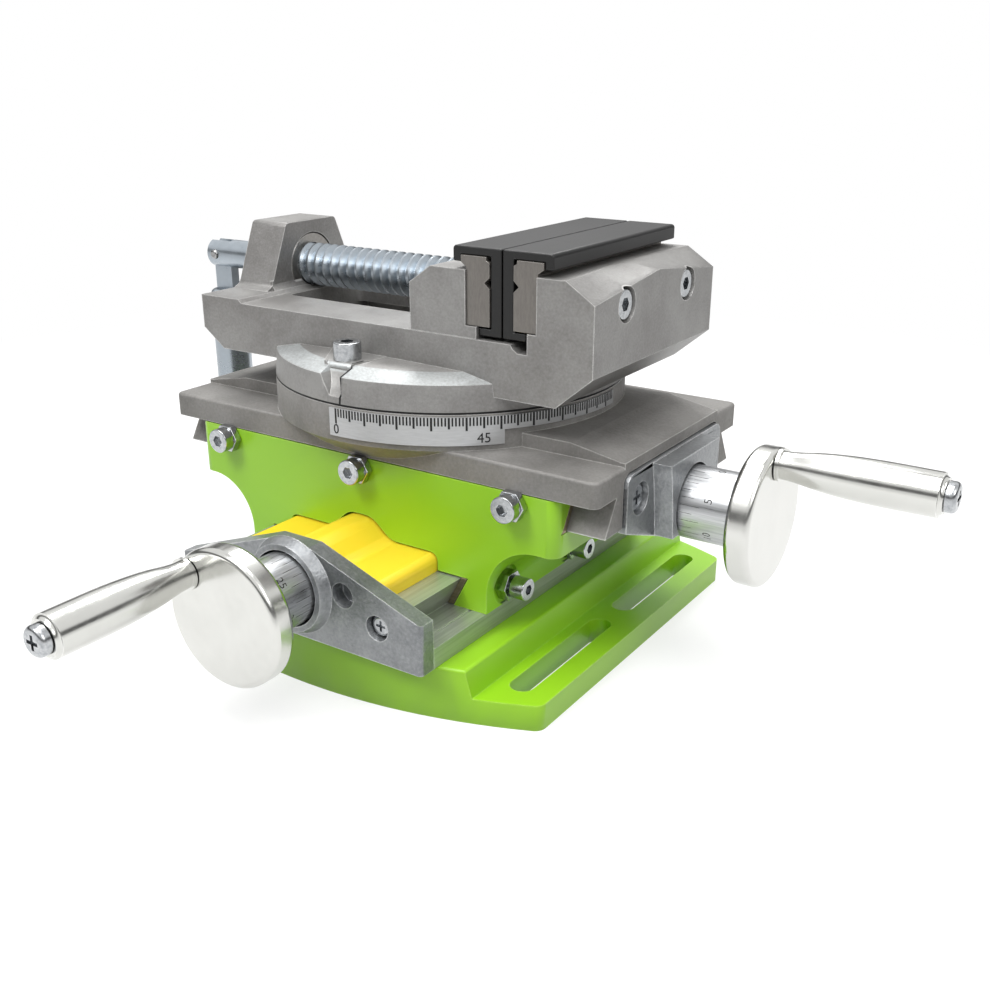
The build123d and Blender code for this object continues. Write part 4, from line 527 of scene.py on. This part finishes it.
def settle(piece):
    # the place goes into the mesh, the object back to the origin
    pick(piece)
    bpy.ops.object.transform_apply(location=True, rotation=True, scale=True)


def joinPieces(pieces, name):
    pick(pieces[0])
    for piece in pieces[1:]:
        piece.select_set(True)
    bpy.ops.object.join()
    pieces[0].name = name
    return pieces[0]


def copyNode(nodeName, name):
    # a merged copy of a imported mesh, without its modifiers
    source = frame["nodes"][nodeName]
    piece = bpy.data.objects.new(name, source.data.copy())
    bpy.context.scene.collection.objects.link(piece)
    piece.matrix_world = source.matrix_world.copy()
    settle(piece)
    if piece.data.has_custom_normals:
        bpy.ops.mesh.customdata_custom_splitnormals_clear()
    bpy.ops.object.mode_set(mode="EDIT")
    bpy.ops.mesh.select_all(action="SELECT")
    bpy.ops.mesh.remove_doubles(threshold=cleaning["weld"])
    bpy.ops.mesh.dissolve_limited(angle_limit=cleaning["flatAngle"])
    bpy.ops.mesh.normals_make_consistent(inside=False)
    bpy.ops.object.mode_set(mode="OBJECT")
    return piece


def cutWith(piece, cutter, operation="DIFFERENCE"):
    modifier = piece.modifiers.new("cut", "BOOLEAN")
    modifier.operation = operation
    modifier.solver = "EXACT"
    modifier.object = cutter
    applyAll(piece)
    bpy.data.objects.remove(cutter)


def smoothBy(piece, degrees):
    pick(piece)
    bpy.ops.object.shade_smooth_by_angle(angle=math.radians(degrees))


def turnedCopies(first, turns):
    # one modelled piece, copied round the X axis, each copy with its own mesh
    copies = [first]
    for turn in turns[1:]:
        piece = first.copy()
        piece.data = first.data.copy()
        piece.data.transform(Matrix.Rotation(turn, 4, "X"))
        bpy.context.scene.collection.objects.link(piece)
        copies.append(piece)
    first.data.transform(Matrix.Rotation(turns[0], 4, "X"))
    return copies


def makeText(body, size, depth):
    # solid figures, centred on the origin and reaching the depth to both sides of it
    deselectAll()
    bpy.ops.object.text_add()
    figures = bpy.context.object
    figures.data.body = body
    figures.data.size = size * mm
    figures.data.align_x = "CENTER"
    figures.data.align_y = "CENTER"
    figures.data.extrude = depth * mm
    figures.data.resolution_u = 3
    bpy.ops.object.convert(target="MESH")
    return bpy.context.object


threadLooks = {
    "vise_screw": {"body": "vise_screw", "axis": "X", "low": -60.8, "high": 11.8, "level": 91.8,
                   "crest": 6.0, "pitch": 3.0, "depth": 1.55, "steps": 48},
    "lower_lead_screw": {"body": "lower_spindle", "axis": "Y", "low": None, "high": 25.4, "level": 27.3,
                         "crest": 4.0, "pitch": 1.5, "depth": 0.8, "steps": 24},
    "upper_lead_screw": {"body": "upper_spindle", "axis": "X", "low": -50.2, "high": None,
                         "level": 44.15, "crest": 4.0, "pitch": 1.5, "depth": 0.8, "steps": 24},
}
threadProfile = ((0.0, "root"), (0.12, "root"), (0.46, "crest"), (0.66, "crest"), (1.0, "root"))
threadCut = {
    "inset": 0.02, "rimShare": 0.55, "sides": 64, "sharpAngle": math.radians(60), "blockShare": 4,
    "fullWithin": 0.1, "smooth": 32}


def onAxis(look, along):
    # a point on the screw's axis, given by how far it is along it
    return Vector((along, 0, look["level"] * mm)) if look["axis"] == "X" else \
        Vector((0, along, look["level"] * mm))


def makeThread(look):
    # one pitch of the profile wound round the axis, then trimmed to the threaded length
    deselectAll()
    length = look["high"] - look["low"]
    turns = math.ceil(length / look["pitch"]) + 2
    bpy.ops.mesh.primitive_circle_add(vertices=len(threadProfile), radius=mm)
    rod = bpy.context.object
    bpy.ops.object.mode_set(mode="EDIT")
    bpy.ops.mesh.select_mode(type="EDGE")
    bpy.ops.mesh.select_all(action="DESELECT")
    bpy.ops.object.mode_set(mode="OBJECT")
    rod.data.edges[len(threadProfile) - 1].select = True
    bpy.ops.object.mode_set(mode="EDIT")
    bpy.ops.mesh.delete(type="EDGE_FACE")
    bpy.ops.mesh.select_mode(type="VERT")
    bpy.ops.object.mode_set(mode="OBJECT")
    radii = {"root": look["crest"] - look["depth"], "crest": look["crest"]}
    for vertex, (share, kind) in zip(rod.data.vertices, threadProfile):
        vertex.co = (radii[kind] * mm, 0, share * look["pitch"] * mm)
    winding = rod.modifiers.new("winding", "SCREW")
    winding.axis = "Z"
    winding.angle = math.radians(360)
    winding.screw_offset = look["pitch"] * mm
    winding.iterations = turns
    winding.steps = look["steps"]
    winding.render_steps = look["steps"]
    winding.use_merge_vertices = True
    winding.merge_threshold = cleaning["weld"] / 2
    applyAll(rod)
    bpy.ops.object.mode_set(mode="EDIT")
    bpy.ops.mesh.select_all(action="SELECT")
    bpy.ops.mesh.remove_doubles(threshold=cleaning["weld"])
    bpy.ops.mesh.select_all(action="DESELECT")
    bpy.ops.mesh.select_non_manifold()
    bpy.ops.mesh.edge_face_add()
    bpy.ops.mesh.select_all(action="SELECT")
    bpy.ops.mesh.quads_convert_to_tris()
    bpy.ops.mesh.normals_make_consistent(inside=False)
    bpy.ops.object.mode_set(mode="OBJECT")
    across = Matrix.Rotation(math.radians(90), 4, "Y") if look["axis"] == "X" else \
        Matrix.Rotation(math.radians(-90), 4, "X")
    place = onAxis(look, (look["low"] - look["pitch"]) * mm)
    rod.data.transform(Matrix.Translation(place) @ across)
    deselectAll()
    bpy.ops.mesh.primitive_cylinder_add(
        vertices=threadCut["sides"], radius=(look["crest"] - threadCut["inset"]) * mm,
        depth=length * mm, location=onAxis(look, (look["low"] + look["high"]) / 2 * mm),
        rotation=(0, math.radians(90), 0) if look["axis"] == "X" else (math.radians(90), 0, 0))
    envelope = bpy.context.object
    settle(envelope)
    rims = envelope.modifiers.new("rims", "BEVEL")
    rims.width = look["depth"] * threadCut["rimShare"] * mm
    rims.segments = 1
    rims.limit_method = "ANGLE"
    rims.angle_limit = threadCut["sharpAngle"]
    applyAll(envelope)
    cutWith(rod, envelope, "INTERSECT")
    return rod


def threadNode(nodeName, look):
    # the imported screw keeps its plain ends, and a wound thread takes the place of the rest
    ends = copyNode(nodeName, nodeName + "_ends")
    along = 0 if look["axis"] == "X" else 1
    if look["low"] is None:
        look["low"] = threadEnd(ends, along, look, -1)
    if look["high"] is None:
        look["high"] = threadEnd(ends, along, look, 1)
    centre = onAxis(look, (look["low"] + look["high"]) / 2 * mm)
    size = [threadCut["blockShare"] * look["crest"] * mm] * 3
    size[along] = (look["high"] - look["low"]) * mm
    deselectAll()
    bpy.ops.mesh.primitive_cube_add(size=1, location=centre, scale=size)
    block = bpy.context.object
    settle(block)
    cutWith(ends, block)
    rod = makeThread(look)
    piece = joinPieces([ends, rod], nodeName + "_threaded")
    piece.data.materials.clear()
    piece.data.materials.append(finishes[slotOf[nodeName]])
    smoothBy(piece, threadCut["smooth"])
    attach(piece, look["body"])
    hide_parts(nodeName)


def threadEnd(ends, along, look, way):
    # where the screw's full radius ends, towards the side that the way gives
    full = []
    for vertex in ends.data.vertices:
        radius = math.hypot(vertex.co[1 - along] / mm, vertex.co[2] / mm - look["level"])
        if radius > look["crest"] - threadCut["fullWithin"]:
            full.append(vertex.co[along] / mm)
    return max(full) if way > 0 else min(full)


slotOf = {entry["node"]: entry["material_slot"] for entry in frame["record"]["subparts"]}
for nodeName, look in threadLooks.items():
    threadNode(nodeName, look)
print("stage: threads wound")


def inkMaterial(name, look):
    # black filling in an engraved line, a little worn
    material, tree, shader, place = startMaterial(name)
    worn = addNode(tree, "ShaderNodeTexNoise", Scale=look["patch"], Detail=look["detail"])
    tree.links.new(place, worn.inputs["Vector"])
    faded = rangeNode(tree, worn.outputs["Fac"], *look["fading"])
    tree.links.new(mixColours(tree, faded, look["ink"], look["faded"]), shader.inputs["Base Color"])
    shader.inputs["Roughness"].default_value = look["rough"]
    return material


ink = inkMaterial("graduation_ink", {
    "ink": srgb(10, 10, 11), "faded": srgb(34, 34, 35), "fading": (0.45, 0.75), "patch": 900.0,
    "detail": 3.0, "rough": 0.6})

dialLook = {
    "radius": 9.3, "divisions": 30, "numbered": 5, "cutDepth": 0.16, "cutWidth": 0.2, "footShare": 0.3,
    "shortTick": 3.2, "longTick": 5.0, "textSize": 2.9, "textAt": 7.0, "textDepth": 0.12,
    "smooth": 30}
dialPlaces = {
    "lower_dial": {"body": "lower_spindle", "axis": "Y", "level": 27.3, "inBore": 6.2, "turn": 12.0,
                   "finish": "dial_metal"},
    "upper_dial": {"body": "upper_spindle", "axis": "X", "level": 44.15, "inBore": 5.5, "turn": 4.0,
                   "finish": "dial_metal_x"},
}


def makeTick(length, look):
    # a knife edge that lies along X on top of the dial, its start at the origin
    deselectAll()
    bpy.ops.mesh.primitive_cube_add(size=1, location=(length / 2 * mm, 0, 0))
    tick = bpy.context.object
    tick.scale = (length * mm, look["cutWidth"] * mm, look["cutDepth"] * 2 * mm)
    settle(tick)
    for vertex in tick.data.vertices:
        if vertex.co.z < 0:
            vertex.co.y *= look["footShare"]
    tick.data.transform(Matrix.Translation((0, 0, look["radius"] * mm)))
    return tick


def makeFigure(body, look):
    # a figure cut into the top of the dial; its base line runs round the dial
    figure = makeText(body, look["textSize"], look["textDepth"])
    bpy.ops.object.mode_set(mode="EDIT")
    bpy.ops.mesh.select_all(action="SELECT")
    bpy.ops.mesh.remove_doubles(threshold=cleaning["weld"] / 2)
    bpy.ops.mesh.normals_make_consistent(inside=False)
    bpy.ops.object.mode_set(mode="OBJECT")
    figure.data.transform(Matrix.Translation((look["textAt"] * mm, 0, look["radius"] * mm))
                          @ Matrix.Rotation(math.radians(90), 4, "Z"))
    return figure


def engraveDial(nodeName, place, look):
    # long and short lines by turns, and a figure at every fifth, cut into a copy of the dial
    dial = copyNode(nodeName, nodeName + "_engraved")
    cutters = []
    step = 2 * math.pi / look["divisions"]
    for length, first in ((look["longTick"], 0), (look["shortTick"], 1)):
        turns = [step * index for index in range(first, look["divisions"], 2)]
        cutters += turnedCopies(makeTick(length, look), turns)
    for index in range(0, look["divisions"], look["numbered"]):
        figure = makeFigure(str(index), look)
        figure.data.transform(Matrix.Rotation(step * index, 4, "X"))
        cutters.append(figure)
    cutter = joinPieces(cutters, "cutter")
    cutter.data.materials.clear()
    cutter.data.materials.append(ink)
    low, high = (Vector(corner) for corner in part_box(nodeName))
    spin = Matrix.Rotation(math.radians(place["turn"]), 4, "X")
    if place["axis"] == "X":
        start = Vector((low.x + place["inBore"] * mm, 0, place["level"] * mm))
        cutter.data.transform(Matrix.Translation(start) @ spin)
    else:
        start = Vector((0, high.y - place["inBore"] * mm, place["level"] * mm))
        aside = Matrix.Rotation(math.radians(-90), 4, "Z")
        cutter.data.transform(Matrix.Translation(start) @ aside @ spin)
    dial.data.materials.clear()
    dial.data.materials.append(finishes[place["finish"]])
    modifier = dial.modifiers.new("engraving", "BOOLEAN")
    modifier.operation = "DIFFERENCE"
    modifier.solver = "EXACT"
    modifier.material_mode = "TRANSFER"
    modifier.object = cutter
    applyAll(dial)
    bpy.data.objects.remove(cutter)
    smoothBy(dial, look["smooth"])
    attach(dial, place["body"])
    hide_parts(nodeName)


for nodeName, place in dialPlaces.items():
    engraveDial(nodeName, place, dialLook)
print("stage: dials engraved")


scaleLook = {
    "radius": 48.1, "top": 67.8, "last": 94, "width": 0.42, "boldWidth": 0.54, "short": 2.1,
    "middle": 2.8, "long": 3.3, "zero": 3.8, "boldEvery": 5, "longEvery": 10, "proud": 0.03,
    "textSize": 3.5, "textLevel": 62.5, "numbers": (0, 45)}


def onScale(angle, level, look):
    # the frame of a mark on the rim: X along the rim, Y up, Z outwards
    turn = math.radians(angle)
    centre = Vector((swivelX, 0, 0))
    outward = Vector((math.sin(turn), -math.cos(turn), 0))
    along = Vector((math.cos(turn), math.sin(turn), 0))
    place = Matrix((along, Vector((0, 0, 1)), outward)).transposed().to_4x4()
    place.translation = centre + outward * look["radius"] * mm + Vector((0, 0, level * mm))
    return place


def makeScale(look):
    # one mark for each degree and two numbers, laid thinly on the bright strip
    marks = []
    for angle in range(look["last"] + 1):
        height = look["short"]
        width = look["width"]
        if angle % look["boldEvery"] == 0:
            height = look["middle"]
            width = look["boldWidth"]
        if angle % look["longEvery"] == 0:
            height = look["long"]
        if angle == 0:
            height = look["zero"]
        deselectAll()
        bpy.ops.mesh.primitive_cube_add(size=1)
        mark = bpy.context.object
        mark.scale = (width * mm, height * mm, 2 * look["proud"] * mm)
        settle(mark)
        mark.data.transform(onScale(angle, look["top"] - height / 2, look))
        marks.append(mark)
    for angle in look["numbers"]:
        number = makeText(str(angle), look["textSize"], look["proud"] * 2)
        for vertex in number.data.vertices:
            bend = vertex.co.x / (look["radius"] * mm)
            vertex.co.z -= look["radius"] * mm * (1 - math.cos(bend))
        number.data.transform(onScale(angle, look["textLevel"], look))
        marks.append(number)
    scale = joinPieces(marks, "scale_marks")
    scale.data.materials.clear()
    scale.data.materials.append(ink)
    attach(scale, "table")


makeScale(scaleLook)


indexLook = {
    "x": 1.9, "width": 0.45, "proud": 0.05, "steps": 10,
    "route": ((-48.2, 68.9), (-48.1, 70.4), (-47.7, 75.2), (-44.2, 76.9), (-42.2, 77.9), (-40.6, 78.3),
              (-38.0, 78.3))}


def makeIndexLine(look):
    # a painted line laid on the boss: a strip along the route, drawn down on to the casting
    deselectAll()
    first = look["route"][0]
    bpy.ops.mesh.primitive_plane_add(size=1, location=(look["x"] * mm, first[0] * mm, first[1] * mm))
    strip = bpy.context.object
    strip.name = "index_line"
    bpy.ops.object.mode_set(mode="EDIT")
    bpy.ops.mesh.select_all(action="SELECT")
    bpy.ops.mesh.merge(type="CENTER")
    bpy.ops.mesh.extrude_region_move(TRANSFORM_OT_translate={"value": (look["width"] * mm, 0, 0)})
    bpy.ops.mesh.select_all(action="SELECT")
    for (startY, startZ), (endY, endZ) in zip(look["route"], look["route"][1:]):
        for step in range(look["steps"]):
            move = (0, (endY - startY) / look["steps"] * mm, (endZ - startZ) / look["steps"] * mm)
            bpy.ops.mesh.extrude_region_move(TRANSFORM_OT_translate={"value": move})
    bpy.ops.mesh.select_all(action="SELECT")
    bpy.ops.mesh.normals_make_consistent(inside=False)
    bpy.ops.object.mode_set(mode="OBJECT")
    settle(strip)
    wrap = strip.modifiers.new("wrap", "SHRINKWRAP")
    wrap.target = frame["nodes"]["vise_body"]
    wrap.wrap_method = "NEAREST_SURFACEPOINT"
    wrap.wrap_mode = "ABOVE_SURFACE"
    wrap.offset = look["proud"] * mm
    thick = strip.modifiers.new("thick", "SOLIDIFY")
    thick.thickness = look["proud"] * 2 * mm
    thick.offset = 0
    applyAll(strip)
    strip.data.materials.append(ink)
    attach(strip, "vise")


makeIndexLine(indexLook)
print("stage: scale and index marked")


# Camera, floor and lamps

cameraLook = {"place": (0.1801, -0.2461, 0.1454), "down": 20.75, "turn": 33.77, "lens": 41.23}
cameraData = bpy.data.cameras.new("camera")
cameraData.lens = cameraLook["lens"]
cameraData.clip_start = 0.01
camera = bpy.data.objects.new("camera", cameraData)
camera.location = cameraLook["place"]
camera.rotation_euler = (math.radians(90 - cameraLook["down"]), 0, math.radians(cameraLook["turn"]))
bpy.context.scene.collection.objects.link(camera)
bpy.context.scene.camera = camera

lampAim = Vector((0.0, 0.0, 0.05))
lampLooks = [
    {"name": "overhead", "place": (0.0, -0.1, 0.9), "size": 0.6, "power": 4.2},
    {"name": "front_left", "place": (-0.25, -0.75, 0.95), "size": 0.4, "power": 6.2},
    {"name": "front_right", "place": (0.85, -0.3, 0.7), "size": 0.45, "power": 2.8},
    {"name": "back", "place": (-0.25, 0.42, 0.7), "size": 0.3, "power": 3.0},
]
for look in lampLooks:
    lampData = bpy.data.lights.new(look["name"], "AREA")
    lampData.shape = "SQUARE"
    lampData.size = look["size"]
    lampData.energy = look["power"]
    lamp = bpy.data.objects.new(look["name"], lampData)
    lamp.location = look["place"]
    aim = lampAim - Vector(look["place"])
    lamp.rotation_euler = aim.to_track_quat("-Z", "Y").to_euler()
    bpy.context.scene.collection.objects.link(lamp)


worldLook = {
    "ambient": (0.2, 0.8), "horizonRise": (0.02, 0.08), "horizonFall": (0.3, 0.4), "horizonDark": 0.88,
    "zenith": (0.86, 0.95), "zenithDark": 0.6}


def makeWorld(look):
    # white where it is seen; as light it is stronger overhead, and metal finds a dark band round the
    # horizon and a dark patch overhead in it, as in a studio
    world = bpy.data.worlds.new("studio")
    bpy.context.scene.world = world
    world.use_nodes = True
    tree = world.node_tree
    tree.nodes.clear()
    path = addNode(tree, "ShaderNodeLightPath")
    split = addNode(tree, "ShaderNodeSeparateXYZ")
    tree.links.new(addNode(tree, "ShaderNodeTexCoord").outputs["Generated"], split.inputs[0])
    up = split.outputs["Z"]
    ambient = rangeNode(tree, up, 0.0, 1.0, *look["ambient"])
    band = mathNode(tree, "MULTIPLY", rangeNode(tree, up, *look["horizonRise"]),
                    rangeNode(tree, up, *look["horizonFall"], 1.0, 0.0))
    patch = rangeNode(tree, up, *look["zenith"])
    dark = mathNode(tree, "MAXIMUM", mathNode(tree, "MULTIPLY", band, look["horizonDark"]),
                    mathNode(tree, "MULTIPLY", patch, look["zenithDark"]))
    mirrored = mathNode(tree, "SUBTRACT", 1.0, dark)
    glossy = path.outputs["Is Glossy Ray"]
    lit = mathNode(tree, "ADD", mathNode(tree, "MULTIPLY", mirrored, glossy),
                   mathNode(tree, "MULTIPLY", ambient, mathNode(tree, "SUBTRACT", 1.0, glossy)))
    seen = mathNode(tree, "MAXIMUM", path.outputs["Is Camera Ray"], path.outputs["Is Transmission Ray"])
    back = addNode(tree, "ShaderNodeBackground", Color=(1, 1, 1, 1))
    tree.links.new(mathNode(tree, "MAXIMUM", seen, lit), back.inputs["Strength"])
    output = addNode(tree, "ShaderNodeOutputWorld")
    tree.links.new(back.outputs["Background"], output.inputs["Surface"])


floorLook = {"size": 8.0, "glow": 0.72, "albedo": 0.34, "fadeFrom": 0.2, "fadeTo": 0.42}


def makeFloor(look):
    # a sheet of white paper that keeps the shadow; to the camera it has a glow of its own, and past
    # the object it goes over into plain white
    deselectAll()
    bpy.ops.mesh.primitive_plane_add(size=look["size"], location=(0, 0, cadBox[0][2]))
    floor = bpy.context.object
    floor.name = "floor"
    material = bpy.data.materials.new("paper")
    material.use_nodes = True
    tree = material.node_tree
    tree.nodes.clear()
    albedo = look["albedo"]
    paper = addNode(tree, "ShaderNodeBsdfDiffuse", Color=(albedo, albedo, albedo, 1))
    light = addNode(tree, "ShaderNodeEmission", Color=(1, 1, 1, 1))
    white = addNode(tree, "ShaderNodeEmission", Color=(1, 1, 1, 1))
    path = addNode(tree, "ShaderNodeLightPath")
    seen = mathNode(tree, "MAXIMUM", path.outputs["Is Camera Ray"], path.outputs["Is Glossy Ray"])
    tree.links.new(mathNode(tree, "MULTIPLY", seen, look["glow"]), light.inputs["Strength"])
    both = addNode(tree, "ShaderNodeAddShader")
    tree.links.new(paper.outputs["BSDF"], both.inputs[0])
    tree.links.new(light.outputs["Emission"], both.inputs[1])
    distance = addNode(tree, "ShaderNodeVectorMath", operation="LENGTH")
    tree.links.new(addNode(tree, "ShaderNodeTexCoord").outputs["Object"], distance.inputs[0])
    far = rangeNode(tree, distance.outputs["Value"], look["fadeFrom"], look["fadeTo"])
    fade = addNode(tree, "ShaderNodeMixShader")
    tree.links.new(mathNode(tree, "MULTIPLY", far, seen), fade.inputs[0])
    tree.links.new(both.outputs["Shader"], fade.inputs[1])
    tree.links.new(white.outputs["Emission"], fade.inputs[2])
    output = addNode(tree, "ShaderNodeOutputMaterial")
    tree.links.new(fade.outputs["Shader"], output.inputs["Surface"])
    floor.data.materials.append(material)


makeWorld(worldLook)
makeFloor(floorLook)
bpy.context.scene.view_settings.view_transform = "Standard"
print("stage: camera, floor and lamps")
